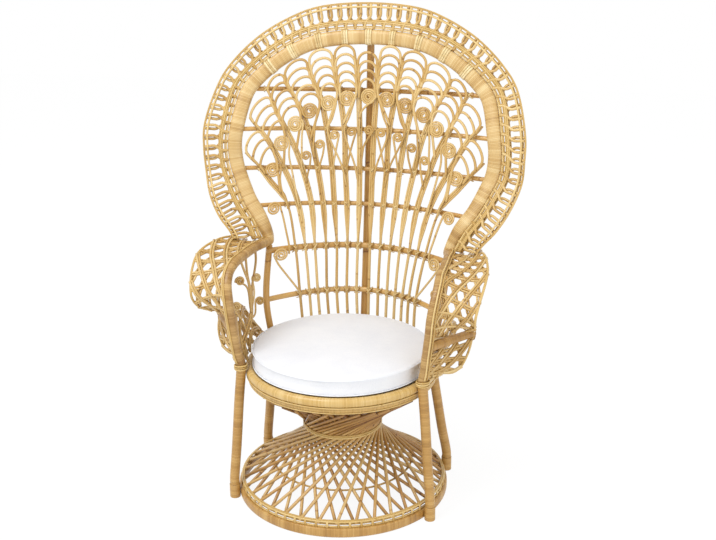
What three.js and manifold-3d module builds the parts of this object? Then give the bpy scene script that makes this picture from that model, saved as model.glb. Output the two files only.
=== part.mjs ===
// A rattan peacock chair: a round woven pedestal, four poles, a hooped seat with a loose cushion,
// and a tall fan back whose wrapped arch flows into wrapped arms with a lattice flare.
// Millimetres, +Z up, the front of the chair faces -Y, and the floor is z = 0.
import * as THREE from "three";
import { mergeVertices } from "three/addons/utils/BufferGeometryUtils.js";
import Module from "manifold-3d";

const wasm = await Module();
wasm.setup();

// Clearance between pieces that touch.
const seatGap = 0.3;
// Extra room where bent canes pass close by each other.
const bendRoom = 0.6;

// Pedestal: two families of straight spindles that cross and draw in to a waist.
const base = {
  outerRadius: 337,
  wall: 18,
  height: 38,
  edge: 4,
};
const spindles = {
  perFamily: 36,
  caneRadius: 3.2,
  footRadius: 325,
  waistRadius: 117,
  waistHeight: 224.6,
  layerStep: 10.6,
  innerFootDrop: 3,
  topDrop: 2.5,
  footRingRadius: 5.5,
};
const stiffeningHoop = { caneRadius: 3.5, height: 97 };
const waistRing = { caneRadius: 3.2 };

// Seat: two wrapped hoops one above the other, a woven deck inside the upper one, and the cushion.
const seat = {
  centreDepth: 5,
  outerRadius: 305.5,
  hoopRadius: 14.5,
  hoopHeight: 420,
  lowerHoopRadius: 9,
  deckThickness: 6,
  deckDrop: 3,
};
const cushion = {
  radius: 279,
  thickness: 50,
  sideDraw: 7,
  crown: 9,
  edgeRadius: 9,
  centreDepth: -3,
};

// Poles: a wrapped leg on a thicker wrapped foot at each corner, and a rear post on the seat.
const leg = { radius: 14.5, footRadius: 17, footHeight: 45, frontTop: 446 };
const rearPost = { radius: 11, rungReach: 282.5, rungInset: 8, topReach: 302, topDepth: 222 };
const legAngles = { frontFoot: 27, frontTop: 26.9, rearFoot: 28.4, rearTop: 23.3 };
const jointBinding = { caneRadius: 2.6, turns: 3 };

// Back: heights, depths and bow of the surface that the fan lies on, from the seat to the crown.
// depth is at the middle, and bow is how far the surface has come forward at halfWidth.
const backAtSeat = { height: 435, halfWidth: 260, depth: 291.5, bow: 139 };
const backAtRung1 = { height: 567, halfWidth: 260, depth: 291.5, bow: 139 };
const backAtRung2 = { height: 715, halfWidth: 275, depth: 315.5, bow: 104 };
const backAtRung3 = { height: 853, halfWidth: 348, depth: 336, bow: 87 };
const backAtRung4 = { height: 968, halfWidth: 401, depth: 351, bow: 65 };
const backAtRung5 = { height: 1096, halfWidth: 400, depth: 366, bow: 67 };
const backAtRung6 = { height: 1222, halfWidth: 335, depth: 381, bow: 30 };
const backAtRim = { height: 1500, halfWidth: 335, depth: 407, bow: 22 };
const backAtRungs = [
  backAtRung1, backAtRung2, backAtRung3, backAtRung4, backAtRung5, backAtRung6,
];
const backStations = [backAtSeat, ...backAtRungs, backAtRim];
const arch = {
  halfWidth: 430,
  waistHeight: 750,
  topHeight: 1391,
  bandWidth: 41,
  bandThickness: 30,
  steps: 32,
};
// Right half of the arch from the crown to the waist: share of its half width, share of its height.
const archShares = [
  [0, 1], [0.35, 0.98], [0.515, 0.945], [0.7, 0.873], [0.86, 0.78], [0.925, 0.72],
  [0.985, 0.55], [1, 0.46], [0.985, 0.365], [0.93, 0.275], [0.863, 0.188], [0.767, 0.097],
  [0.7, 0],
];
// The outer hoop: how far it stands out and up from the arch's own sizes.
const rim = { reach: 94, waistRise: 15, rise: 105, hoopRadius: 4 };
// The outer hoop beside each point of the arch, as shares of its own half width and height.
const rimShares = [
  [0, 1], [0.32, 0.98], [0.495, 0.935], [0.68, 0.858], [0.84, 0.752], [0.925, 0.664],
  [0.998, 0.475], [1, 0.375], [0.99, 0.28], [0.935, 0.175], [0.86, 0.09], [0.79, 0.035],
  [0.755, 0],
];
const border = {
  cells: 60,
  caneRadius: 3.6,
  layerStep: 3.95,
  clearance: 1.1,
  postShare: 0.26,
};
const rungs = {
  heights: backAtRungs.map((station) => station.height),
  tallness: [18, 20, 15, 15, 15, 15],
  thickness: 15,
  steps: 10,
};
const centrePost = { radius: 11 };
const fan = {
  spokeRadius: 4.5,
  halfWidth: arch.halfWidth,
  seatHeight: backAtSeat.height,
  topHeight: arch.topHeight,
  archCaneRadius: 3,
  curlCaneRadius: 2.6,
  scallopSteps: 4,
  samples: 240,
};
// Each spoke from the seat upwards: share of the fan's half width, share of its height.
const spokeShares = [
  [[0.042, 0], [0.05, 0.14], [0.048, 0.44], [0.056, 0.69], [0.07, 0.82], [0.098, 1]],
  [[0.12, 0], [0.128, 0.14], [0.132, 0.29], [0.145, 0.44], [0.163, 0.56], [0.175, 0.69],
    [0.222, 0.82], [0.256, 0.9], [0.272, 1]],
  [[0.19, 0], [0.205, 0.14], [0.214, 0.29], [0.244, 0.44], [0.267, 0.56], [0.31, 0.69],
    [0.375, 0.812], [0.435, 0.87], [0.485, 0.965]],
  [[0.26, 0], [0.277, 0.14], [0.295, 0.29], [0.33, 0.44], [0.38, 0.56], [0.453, 0.69],
    [0.563, 0.797], [0.623, 0.843], [0.67, 0.91]],
  [[0.325, 0], [0.342, 0.14], [0.377, 0.29], [0.42, 0.44], [0.5, 0.56], [0.565, 0.637],
    [0.693, 0.744], [0.749, 0.797], [0.82, 0.855]],
  [[0.385, 0], [0.4, 0.14], [0.447, 0.295], [0.52, 0.442], [0.644, 0.5625], [0.697, 0.607],
    [0.79, 0.674], [0.87, 0.711], [0.965, 0.775]],
  [[0.445, 0], [0.463, 0.14], [0.516, 0.296], [0.605, 0.444], [0.73, 0.5115], [0.82, 0.56],
    [0.888, 0.592], [0.975, 0.64]],
];
// Columns of scallops between one spoke and the next: the crests of the first and last arch, as
// shares of the fan, with their count and rise. Column 0 spans the middle.
const scallopColumns = [
  { firstShare: [0, 0.948], lastShare: [0, 0.862], count: 4, rise: 31 },
  { firstShare: [0.178, 0.967], lastShare: [0.161, 0.856], count: 5, rise: 31 },
  { firstShare: [0.372, 0.951], lastShare: [0.307, 0.843], count: 5, rise: 31 },
  { firstShare: [0.541, 0.916], lastShare: [0.457, 0.806], count: 5, rise: 30 },
  { firstShare: [0.698, 0.869], lastShare: [0.589, 0.763], count: 5, rise: 30 },
  { firstShare: [0.812, 0.786], lastShare: [0.696, 0.712], count: 4, rise: 28 },
  { firstShare: [0.874, 0.67], lastShare: [0.766, 0.622], count: 3, rise: 24 },
];
const largeCurl = { radius: 22.5, turns: 2.2 };
const smallCurl = { radius: 14.5, turns: 1.3 };
// Curls: the spoke that carries each one, its centre as shares of the fan, and its stem's points.
const curls = [
  { spoke: 1, large: true, centreShare: [0, 0.802], stemShares: [[0.05, 0.69], [0.01, 0.745]] },
  { spoke: 1, large: false, centreShare: [0, 0.69], stemShares: [[0.05, 0.56], [0.01, 0.63]] },
  { spoke: 2, large: true, centreShare: [0.155, 0.794],
    stemShares: [[0.085, 0.57], [0.172, 0.69], [0.115, 0.755]] },
  { spoke: 2, large: false, centreShare: [0.129, 0.6835], stemShares: [[0.163, 0.56], [0.115, 0.63]] },
  { spoke: 3, large: true, centreShare: [0.3, 0.776],
    stemShares: [[0.19, 0.57], [0.304, 0.69], [0.256, 0.74]] },
  { spoke: 3, large: false, centreShare: [0.258, 0.67], stemShares: [[0.267, 0.56], [0.232, 0.62]] },
  { spoke: 4, large: true, centreShare: [0.445, 0.749], stemShares: [[0.41, 0.61], [0.392, 0.7]] },
  { spoke: 4, large: false, centreShare: [0.363, 0.638], stemShares: [[0.38, 0.56], [0.337, 0.6]] },
  { spoke: 5, large: true, centreShare: [0.551, 0.705], stemShares: [[0.5, 0.56], [0.495, 0.64]] },
  { spoke: 5, large: false, centreShare: [0.467, 0.599], stemShares: [[0.47, 0.52], [0.435, 0.565]] },
  { spoke: 6, large: true, centreShare: [0.6535, 0.64], stemShares: [[0.52, 0.442], [0.58, 0.58]] },
  { spoke: 7, large: true, centreShare: [0.716, 0.548], stemShares: [[0.605, 0.444], [0.648, 0.5]] },
  { spoke: 7, large: true, centreShare: [0.69, 0.417], stemShares: [[0.516, 0.296], [0.6, 0.36]] },
  { spoke: 7, large: true, centreShare: [0.597, 0.273], stemShares: [[0.463, 0.14], [0.5, 0.2]] },
];

// Arm: a wrapped frame from the waist forward and down to the leg, and a lattice flare whose
// outer hoop swings out, round and back under it.
const arm = {
  reach: 320,
  radius: 14,
  flareHoopRadius: 4.5,
  flareOut: 454,
  waistDrop: 12.5,
  waistDepth: 232,
  frontDepth: -154,
  flareSteps: 26,
};
// The arm and the rear post end a little under the foot of the arch.
const armWaistHeight = arch.waistHeight - arm.waistDrop;
// Frame: share of the reach, share of the way from the front to the waist, share of its height.
const armFrameShares = [
  [0.938, 1, 1], [0.956, 0.891, 1.022], [0.978, 0.658, 1.05], [0.994, 0.399, 1.057],
  [1, 0.218, 1.05], [1.006, 0.114, 0.998], [0.997, 0.041, 0.906], [0.981, 0.01, 0.803],
  [0.966, 0, 0.683], [0.953, 0.005, 0.529], [0.938, 0.008, 0.391], [0.922, 0.013, 0.254],
  [0.906, 0.027, 0.117], [0.8925, 0.0365, 0.05], [0.8925, 0.0365, 0],
];
// Flare: share of its width, then shares of the same depth and height as the frame's.
const armFlareShares = [
  [0.885, 0.891, 1.084], [0.947, 0.66, 1.129], [1, 0.347, 1.094], [0.996, 0.192, 0.991],
  [0.978, 0.083, 0.861], [0.963, 0.044, 0.734], [0.954, 0.101, 0.624], [0.941, 0.205, 0.528],
  [0.919, 0.347, 0.442], [0.905, 0.477, 0.381], [0.899, 0.438, 0.322], [0.892, 0.38, 0.24],
  [0.87, 0.334, 0.134], [0.837, 0.313, 0.04], [0.793, 0.295, -0.01], [0.738, 0.254, -0.003],
  [0.69, 0.15, 0.05],
];
const armLattice = { caneRadius: 3, layerStep: 3.4, bulge: 10, leanShare: 0.25, endShare: 0.1 };
// Two runs of crossed pairs, above and below the cross bar: the first and last pair of each as
// shares of the frame's length and of the hoop's.
const armRuns = [
  { pairs: 9, frameShares: [0.05, 0.77], hoopShares: [0.04, 0.61] },
  { pairs: 3, frameShares: [0.89, 0.96], hoopShares: [0.79, 0.93] },
];
const crossBar = { radius: 14, frameShare: [0.94, 0.005, 0.4], hoopShare: [0.905, 0.477, 0.36] };
const armPlume = { caneRadius: 4, curlRadius: 11, curlTurns: 1.2, insetShare: 0.947 };
// Canes inside the arm opening: shares of depth and height, from the seat joint upwards. The last
// point of the first one has its own reach too, because it ends on the frame.
const armPlumeShares = [
  [[0.16, 0.19], [0.33, 0.27], [0.44, 0.38], [0.43, 0.72], [0.33, 0.93], [0.31, 1.03, 0.99]],
  [[0.33, 0.27], [0.46, 0.38], [0.5, 0.66], [0.62, 0.92]],
];
const armCurlShares = [
  { centreShare: [0.62, 0.72], stemShares: [[0.46, 0.4], [0.55, 0.58]] },
  { centreShare: [0.22, 0.86], stemShares: [[0.44, 0.45], [0.38, 0.72]] },
  { centreShare: [0.68, 0.42], stemShares: [[0.4, 0.33], [0.55, 0.33]] },
];

const caneSides = 5;
const fineSides = 4;
const borderSides = 3;
const poleSides = 10;
const bandSides = 8;
const ringSides = 6;
const hoopSegments = 32;
const curlStepsPerTurn = 6;
const curlGap = 0.9;

const rattan = new THREE.MeshStandardMaterial({ color: 0xd8b36a, roughness: 0.45, metalness: 0 });
const wrapped = new THREE.MeshStandardMaterial({ color: 0xdcb970, roughness: 0.5, metalness: 0 });
const pole = new THREE.MeshStandardMaterial({ color: 0xcf9c4c, roughness: 0.45, metalness: 0 });
const cotton = new THREE.MeshStandardMaterial({ color: 0xf1f1f3, roughness: 0.95, metalness: 0 });

// A section of that many sides is flat at this share of its radius.
const bandFlat = Math.cos(Math.PI / bandSides);

const chair = new THREE.Group();

// A line bent through hand-placed points, with one ring of the section at each of them. Where
// `facing` is given, the section's second axis keeps to it, as a flat band keeps to its surface.
class BentLine extends THREE.Curve {
  constructor(points, facing) {
    super();
    this.points = points;
    this.facing = facing;
  }
  getPoint(share, target = new THREE.Vector3()) {
    const place = share * (this.points.length - 1);
    const index = Math.min(Math.floor(place), this.points.length - 2);
    return target.lerpVectors(this.points[index], this.points[index + 1], place - index);
  }
  getPointAt(share, target) {
    return this.getPoint(share, target);
  }
  getTangentAt(share, target = new THREE.Vector3()) {
    const index = Math.round(share * (this.points.length - 1));
    const before = this.points[Math.max(index - 1, 0)];
    const here = this.points[index];
    const after = this.points[Math.min(index + 1, this.points.length - 1)];
    target.subVectors(here, before).normalize();
    return target.add(after.clone().sub(here).normalize()).normalize();
  }
  computeFrenetFrames(steps, closed) {
    if (!this.facing) return super.computeFrenetFrames(steps, closed);
    const frames = { tangents: [], normals: [], binormals: [] };
    for (let i = 0; i <= steps; i++) {
      const tangent = this.getTangentAt(i / steps);
      const facing = this.facing(this.points[i], i);
      const binormal = facing.clone().addScaledVector(tangent, -facing.dot(tangent)).normalize();
      frames.tangents.push(tangent);
      frames.binormals.push(binormal);
      frames.normals.push(new THREE.Vector3().crossVectors(binormal, tangent));
    }
    return frames;
  }
}

const at = (x, y, z) => new THREE.Vector3(x, y, z);
const radians = THREE.MathUtils.degToRad;

// A section with `sides` corners on an ellipse.
function sectionOf(halfWidth, halfThickness, sides) {
  const corners = [];
  for (let i = 0; i < sides; i++) {
    const angle = ((i + 0.5) / sides) * 2 * Math.PI;
    corners.push(new THREE.Vector2(halfWidth * Math.cos(angle), halfThickness * Math.sin(angle)));
  }
  return new THREE.Shape(corners);
}

function sweep(points, section, facing) {
  return new THREE.ExtrudeGeometry(section, {
    steps: points.length - 1,
    bevelEnabled: false,
    extrudePath: new BentLine(points, facing),
  });
}

const cane = (points, radius, sides = caneSides) => sweep(points, sectionOf(radius, radius, sides));

// A full hoop: a round section turned about the vertical axis.
function hoop(radius, caneRadius, height, sides = caneSides, centreDepth = 0) {
  const profile = [];
  for (let i = 0; i <= sides; i++) {
    const angle = ((i + 0.5) / sides) * 2 * Math.PI;
    const outward = new THREE.Vector2(Math.cos(angle), Math.sin(angle));
    profile.push(new THREE.Vector2(radius, height).addScaledVector(outward, caneRadius));
  }
  return turned(profile, centreDepth);
}

// Turns a profile of (radius, height) corners about the vertical axis.
function turned(profile, centreDepth = 0, segments = hoopSegments) {
  return new THREE.LatheGeometry(profile, segments)
    .rotateX(Math.PI / 2)
    .translate(0, centreDepth, 0);
}

function solidOf(geometry) {
  const bare = geometry.clone().deleteAttribute("normal").deleteAttribute("uv");
  const merged = mergeVertices(bare, 1e-3);
  const mesh = new wasm.Mesh({
    numProp: 3,
    vertProperties: new Float32Array(merged.attributes.position.array),
    triVerts: new Uint32Array(merged.index.array),
  });
  return new wasm.Manifold(mesh);
}

function geometryOf(solid) {
  const mesh = solid.getMesh();
  const geometry = new THREE.BufferGeometry();
  geometry.setAttribute("position", new THREE.BufferAttribute(new Float32Array(mesh.vertProperties), 3));
  geometry.setIndex(new THREE.BufferAttribute(new Uint32Array(mesh.triVerts), 1));
  return geometry;
}

// Joins pieces into one body, and trims it to the pieces that it butts against.
function joined(geometries, trims = []) {
  let solid = wasm.Manifold.union(geometries.map(solidOf));
  for (const trim of trims) solid = solid.subtract(trim);
  return geometryOf(solid);
}

function addPart(name, geometry, material, mirrored = false) {
  const mesh = new THREE.Mesh(geometry, material);
  mesh.name = name;
  if (mirrored) mesh.scale.x = -1;
  chair.add(mesh);
}

// Adds the right and the left copy of a piece that is shaped on the +X side.
function addPair(name, geometry, material) {
  addPart(name + "_right", geometry, material);
  addPart(name + "_left", geometry, material, true);
}

// The surface of the back: its depth at a place, and a point so far in front of it.
function backDepth(x, z) {
  let index = 0;
  while (index < backStations.length - 2 && z > backStations[index + 1].height) index++;
  const low = backStations[index];
  const high = backStations[index + 1];
  const share = (z - low.height) / (high.height - low.height);
  const curve = (station) => station.bow / station.halfWidth ** 2;
  const depth = THREE.MathUtils.lerp(low.depth, high.depth, share);
  return depth - THREE.MathUtils.lerp(curve(low), curve(high), share) * x * x;
}

function backNormal(x, z) {
  const step = rungs.thickness;
  const across = (backDepth(x + step, z) - backDepth(x - step, z)) / (2 * step);
  const upward = (backDepth(x, z + step) - backDepth(x, z - step)) / (2 * step);
  return at(across, -1, upward).normalize();
}

const onBack = (x, z, forward = 0) =>
  at(x, backDepth(x, z), z).addScaledVector(backNormal(x, z), forward);

const facingFront = (point) => backNormal(point.x, point.z);

// Heights of the seat's hoops, and the places of the four poles.
const hoopCentreRadius = seat.outerRadius - seat.hoopRadius;
const hoopTop = seat.hoopHeight + seat.hoopRadius * bandFlat;
const hoopUnderside = seat.hoopHeight - seat.hoopRadius * bandFlat;
const lowerHoopHeight = hoopUnderside - seatGap - seat.lowerHoopRadius;
const lowerHoopUnderside = lowerHoopHeight - seat.lowerHoopRadius;
// What a pole leaves clear where it meets a hoop of the seat.
const lowerHoopRoom = solidOf(
  hoop(hoopCentreRadius, seat.lowerHoopRadius + seatGap, lowerHoopHeight, ringSides, seat.centreDepth),
);
const upperHoopRoom = solidOf(
  hoop(hoopCentreRadius, seat.hoopRadius + seatGap, seat.hoopHeight, bandSides, seat.centreDepth),
);

const footDistance = base.outerRadius + seatGap + leg.footRadius;
const frontLegDistance = seat.outerRadius + seatGap + leg.radius;

// A place at so far from the middle of the pedestal or the seat, turned from +X by degrees.
function polar(distance, degrees, height, centreDepth = 0) {
  const angle = radians(degrees);
  return at(distance * Math.cos(angle), centreDepth + distance * Math.sin(angle), height);
}

const frontFoot = polar(footDistance, -legAngles.frontFoot, 0);
const rearFoot = polar(footDistance, legAngles.rearFoot, 0);
const frontLegTop = polar(frontLegDistance, -legAngles.frontTop, leg.frontTop, seat.centreDepth);
const rearLegTop = polar(hoopCentreRadius, legAngles.rearTop, lowerHoopHeight, seat.centreDepth);
const postBottom = rearLegTop.clone().setZ(seat.hoopHeight);

const rearLegLine = new THREE.Line3(rearFoot, rearLegTop);

// Pedestal.
const baseInner = base.outerRadius - base.wall;
addPart(
  "base_band",
  turned([
    new THREE.Vector2(baseInner, 0),
    new THREE.Vector2(base.outerRadius, 0),
    new THREE.Vector2(base.outerRadius, base.height - base.edge),
    new THREE.Vector2(base.outerRadius - base.edge, base.height),
    new THREE.Vector2(baseInner + base.edge, base.height),
    new THREE.Vector2(baseInner, base.height - base.edge),
    new THREE.Vector2(baseInner, 0),
  ]),
  wrapped,
);

const legRoom = leg.radius + 2 * spindles.caneRadius;

function distanceToRearLegs(point) {
  const mirrored = at(Math.abs(point.x), point.y, point.z);
  return rearLegLine.closestPointToPoint(mirrored, true, at(0, 0, 0)).distanceTo(mirrored);
}

// A family of spindles: each is a straight line that touches its waist circle and leans the way
// that `turn` says, from a ring that holds its foot up to the hoops of the seat.
function spindleFamily(waistRadius, footRadius, footHeight, turn) {
  const sideways = Math.sqrt(footRadius ** 2 - waistRadius ** 2);
  const lean = sideways / (spindles.waistHeight - footHeight);
  const topHeight = lowerHoopUnderside - spindles.topDrop;
  const radiusAt = (height) => Math.hypot(waistRadius, lean * (height - spindles.waistHeight));
  const slopeAt = (height) => (lean ** 2 * (spindles.waistHeight - height)) / radiusAt(height);
  const lines = [];
  for (let i = 0; i < spindles.perFamily; i++) {
    const angle = (i / spindles.perFamily) * 2 * Math.PI;
    const pointAt = (height) => {
      const swing = turn * lean * (height - spindles.waistHeight);
      return at(waistRadius, swing, height).applyAxisAngle(at(0, 0, 1), angle);
    };
    // A spindle that would run into a rear leg stops short of it.
    let endHeight = topHeight;
    while (distanceToRearLegs(pointAt(endHeight)) < legRoom) endHeight -= seatGap;
    lines.push(cane([pointAt(footHeight), pointAt(endHeight)], spindles.caneRadius, fineSides));
  }
  // The ring's flats are turned so that each spindle runs into the middle of one.
  const footAngle = -turn * Math.atan2(sideways, waistRadius);
  const ring = turned(
    [
      new THREE.Vector2(footRadius - spindles.footRingRadius, footHeight),
      new THREE.Vector2(footRadius, footHeight - spindles.footRingRadius),
      new THREE.Vector2(footRadius + spindles.footRingRadius, footHeight),
      new THREE.Vector2(footRadius, footHeight + spindles.footRingRadius),
      new THREE.Vector2(footRadius - spindles.footRingRadius, footHeight),
    ],
    0,
    spindles.perFamily,
  ).rotateZ(footAngle + Math.PI / spindles.perFamily + Math.PI / 2);
  return { body: joined([...lines, ring]), radiusAt, slopeAt };
}

const footHeight = base.height + seatGap + spindles.footRingRadius;
const outerFamily = spindleFamily(spindles.waistRadius, spindles.footRadius, footHeight, 1);
const innerFamily = spindleFamily(
  spindles.waistRadius - spindles.layerStep,
  spindles.footRadius - spindles.layerStep,
  footHeight - spindles.innerFootDrop,
  -1,
);
addPart("outer_spindles", outerFamily.body, rattan);
addPart("inner_spindles", innerFamily.body, rattan);

// A thin hoop tied inside the inner family.
const hoopInset =
  (spindles.caneRadius + seatGap + stiffeningHoop.caneRadius) *
  Math.hypot(1, innerFamily.slopeAt(stiffeningHoop.height));
addPart(
  "stiffening_hoop",
  hoop(
    innerFamily.radiusAt(stiffeningHoop.height) - hoopInset,
    stiffeningHoop.caneRadius,
    stiffeningHoop.height,
    fineSides,
  ),
  rattan,
);

// Two canes side by side, bound round the waist.
const ringCentre = spindles.waistRadius + spindles.caneRadius + seatGap + waistRing.caneRadius;
const ringRise = waistRing.caneRadius;
addPart(
  "waist_ring",
  turned([
    new THREE.Vector2(ringCentre - waistRing.caneRadius, spindles.waistHeight - ringRise),
    new THREE.Vector2(ringCentre + waistRing.caneRadius / 2, spindles.waistHeight - 2 * ringRise),
    new THREE.Vector2(ringCentre + waistRing.caneRadius, spindles.waistHeight),
    new THREE.Vector2(ringCentre + waistRing.caneRadius / 2, spindles.waistHeight + 2 * ringRise),
    new THREE.Vector2(ringCentre - waistRing.caneRadius, spindles.waistHeight + ringRise),
    new THREE.Vector2(ringCentre - waistRing.caneRadius, spindles.waistHeight - ringRise),
  ]),
  rattan,
);

// Seat.
addPart(
  "seat_hoop_upper",
  hoop(hoopCentreRadius, seat.hoopRadius, seat.hoopHeight, bandSides, seat.centreDepth),
  wrapped,
);
addPart(
  "seat_hoop_lower",
  hoop(hoopCentreRadius, seat.lowerHoopRadius, lowerHoopHeight, ringSides, seat.centreDepth),
  wrapped,
);
const deckRadius = hoopCentreRadius - seat.hoopRadius * bandFlat - seatGap;
const deckTop = seat.hoopHeight + seat.deckThickness - seat.deckDrop;
const deckUnderside = deckTop - seat.deckThickness;
addPart(
  "seat_deck",
  turned(
    [
      new THREE.Vector2(0, deckUnderside),
      new THREE.Vector2(deckRadius - seat.deckThickness / 2, deckUnderside),
      new THREE.Vector2(deckRadius, (deckTop + deckUnderside) / 2),
      new THREE.Vector2(deckRadius - seat.deckThickness / 2, deckTop),
      new THREE.Vector2(0, deckTop),
    ],
    seat.centreDepth,
  ),
  rattan,
);

// The cushion: a round boxed pad whose side draws in and whose top is crowned.
const cushionBottom = hoopTop + seatGap;
const cushionTop = cushionBottom + cushion.thickness;
const cushionMiddle = (cushionBottom + cushionTop) / 2;
addPart(
  "cushion",
  turned(
    [
      new THREE.Vector2(0, cushionBottom),
      new THREE.Vector2(cushion.radius - cushion.edgeRadius, cushionBottom),
      new THREE.Vector2(cushion.radius, cushionBottom + cushion.edgeRadius),
      new THREE.Vector2(cushion.radius - cushion.sideDraw, cushionMiddle),
      new THREE.Vector2(cushion.radius, cushionTop - cushion.edgeRadius),
      new THREE.Vector2(cushion.radius - cushion.edgeRadius / 3, cushionTop - cushion.edgeRadius / 3),
      new THREE.Vector2(cushion.radius - cushion.edgeRadius, cushionTop),
      new THREE.Vector2(cushion.radius / 2, cushionTop + cushion.crown * 0.8),
      new THREE.Vector2(0, cushionTop + cushion.crown),
    ],
    cushion.centreDepth,
  ),
  cotton,
);

// Legs, feet, rear posts and the binding over each front joint.
for (const [place, foot, top] of [["front", frontFoot, frontLegTop], ["rear", rearFoot, rearLegTop]]) {
  const footTop = foot.clone().setZ(leg.footHeight);
  addPair(place + "_foot", cane([foot, footTop], leg.footRadius, poleSides), wrapped);
  const ankle = footTop.clone().setZ(leg.footHeight + leg.radius);
  const legStart = footTop.clone().setZ(leg.footHeight + seatGap);
  const legLine = place === "front"
    ? [legStart, ankle, top.clone().setZ(leg.frontTop - leg.radius), top]
    : [legStart, ankle, top];
  addPair(
    place + "_leg",
    joined([cane(legLine, leg.radius, poleSides)], [lowerHoopRoom]),
    pole,
  );
}

// Evenly spaced points of a smooth line through a few places.
const smooth = (places, steps) => new THREE.CatmullRomCurve3(places).getSpacedPoints(steps);

// Places along the arms, from shares of a reach, of the depth and of the height over the legs.
const onArm = ([reachShare, depthShare, heightShare], reach = arm.reach) =>
  at(
    reach * reachShare,
    THREE.MathUtils.lerp(arm.frontDepth, arm.waistDepth, depthShare),
    THREE.MathUtils.lerp(leg.frontTop + seatGap, armWaistHeight, heightShare),
  );

// Arms: the wrapped frame, the flare with its lattice, the cross bar and the inner canes.
const armLine = armFrameShares.map((share) => onArm(share));
const armRoom = solidOf(cane(armLine, arm.radius + seatGap, bandSides));
addPair("arm_frame", cane(armLine, arm.radius, bandSides), wrapped);

// The flare: its outer hoop, and crossed pairs of canes between it and the frame.
const flareLine = smooth(armFlareShares.map((share) => onArm(share, arm.flareOut)), arm.flareSteps);
const frameCurve = new THREE.CatmullRomCurve3(armLine);
const flareCurve = new THREE.CatmullRomCurve3(flareLine);

function flareCane(frameShare, hoopShare, side) {
  const inner = frameCurve.getPointAt(frameShare);
  const outer = flareCurve.getPointAt(hoopShare);
  const across = outer.clone().sub(inner).normalize();
  const normal = across.clone().cross(flareCurve.getTangentAt(hoopShare)).normalize();
  const layer = side * armLattice.layerStep;
  const middle = inner.clone().lerp(outer, 0.5).addScaledVector(normal, armLattice.bulge + layer);
  const along = frameCurve.getTangentAt(frameShare);
  const slant = across.dot(along);
  const reach = arm.radius + seatGap + armLattice.caneRadius * (Math.abs(slant) + armLattice.endShare);
  across.addScaledVector(along, -slant).normalize();
  inner.addScaledVector(across, reach).addScaledVector(normal, layer);
  return cane([inner, middle, outer], armLattice.caneRadius, borderSides);
}

const flareCanes = armRuns.flatMap(({ pairs, frameShares, hoopShares }) => {
  const canes = [];
  const share = (ends, place) => THREE.MathUtils.lerp(ends[0], ends[1], place / (pairs - 1));
  for (let pair = 0; pair < pairs; pair++) {
    for (const side of [-1, 1]) {
      const lean = side * armLattice.leanShare;
      canes.push(flareCane(share(frameShares, pair - lean), share(hoopShares, pair + lean), side));
    }
  }
  return canes;
});
const flareHoop = cane(flareLine, arm.flareHoopRadius, fineSides);
addPair("arm_flare", joined([flareHoop, ...flareCanes]), rattan);

// The cross bar holds the flare's hoop off the front of the frame.
const flareRoom = solidOf(cane(flareLine, arm.flareHoopRadius + seatGap, fineSides));
const crossBarLine = [onArm(crossBar.frameShare), onArm(crossBar.hoopShare, arm.flareOut)];
addPair(
  "cross_bar",
  joined([cane(crossBarLine, crossBar.radius, bandSides)], [armRoom, flareRoom]),
  wrapped,
);

// Canes that fan up inside the arm opening, with their curls.
const inOpening = ([depthShare, heightShare, reachShare = armPlume.insetShare]) =>
  onArm([reachShare, depthShare, heightShare]);
function armCurl({ centreShare, stemShares }) {
  const centre = inOpening(centreShare);
  const points = stemShares.map(inOpening);
  const steps = Math.round(armPlume.curlTurns * curlStepsPerTurn);
  const pitch = 2 * fan.curlCaneRadius + curlGap;
  for (let step = 0; step <= steps; step++) {
    const angle = Math.PI - (step / curlStepsPerTurn) * 2 * Math.PI;
    const reach = armPlume.curlRadius - (step / curlStepsPerTurn) * pitch;
    const point = centre.clone();
    point.y += reach * Math.cos(angle);
    point.z += reach * Math.sin(angle);
    points.push(point);
  }
  return cane(points, fan.curlCaneRadius, fineSides);
}
const armCanes = armPlumeShares.map((shares) => {
  const line = smooth(shares.map(inOpening), 2 * shares.length);
  return cane(line, armPlume.caneRadius, fineSides);
});
addPair("arm_plume", joined([...armCanes, ...armCurlShares.map(armCurl)], [armRoom]), rattan);

// Turns of thin cane that bind the foot of the arm to the top of the front leg.
const bindingCentre = frontLegTop.clone();
const bindingProfile = [];
const bindingInner = (leg.radius + seatGap) / Math.cos(Math.PI / poleSides) + bendRoom;
const bindingBottom = hoopTop + seatGap;
bindingProfile.push(new THREE.Vector2(bindingInner, bindingBottom));
for (let turn = 0; turn < jointBinding.turns; turn++) {
  const low = bindingBottom + 2 * turn * jointBinding.caneRadius;
  bindingProfile.push(new THREE.Vector2(bindingInner + jointBinding.caneRadius / 2, low));
  bindingProfile.push(
    new THREE.Vector2(bindingInner + 2 * jointBinding.caneRadius, low + jointBinding.caneRadius));
}
const bindingTop = bindingBottom + 2 * jointBinding.turns * jointBinding.caneRadius;
bindingProfile.push(new THREE.Vector2(bindingInner + jointBinding.caneRadius / 2, bindingTop));
bindingProfile.push(new THREE.Vector2(bindingInner, bindingTop));
bindingProfile.push(new THREE.Vector2(bindingInner, bindingBottom));
addPair(
  "front_joint_binding",
  turned(bindingProfile, 0, poleSides).translate(bindingCentre.x, bindingCentre.y, 0),
  rattan,
);

// Rear posts: from the seat up to the underside of the arms at the waist.
const postLine = [
  postBottom,
  onBack(rearPost.rungReach, rungs.heights[0], -rearPost.rungInset),
  at(rearPost.topReach, rearPost.topDepth, armWaistHeight),
];
const postRoom = solidOf(cane(postLine, rearPost.radius + seatGap, bandSides));
addPair(
  "rear_post",
  joined([cane(postLine, rearPost.radius, bandSides)], [upperHoopRoom, armRoom]),
  pole,
);

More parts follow.
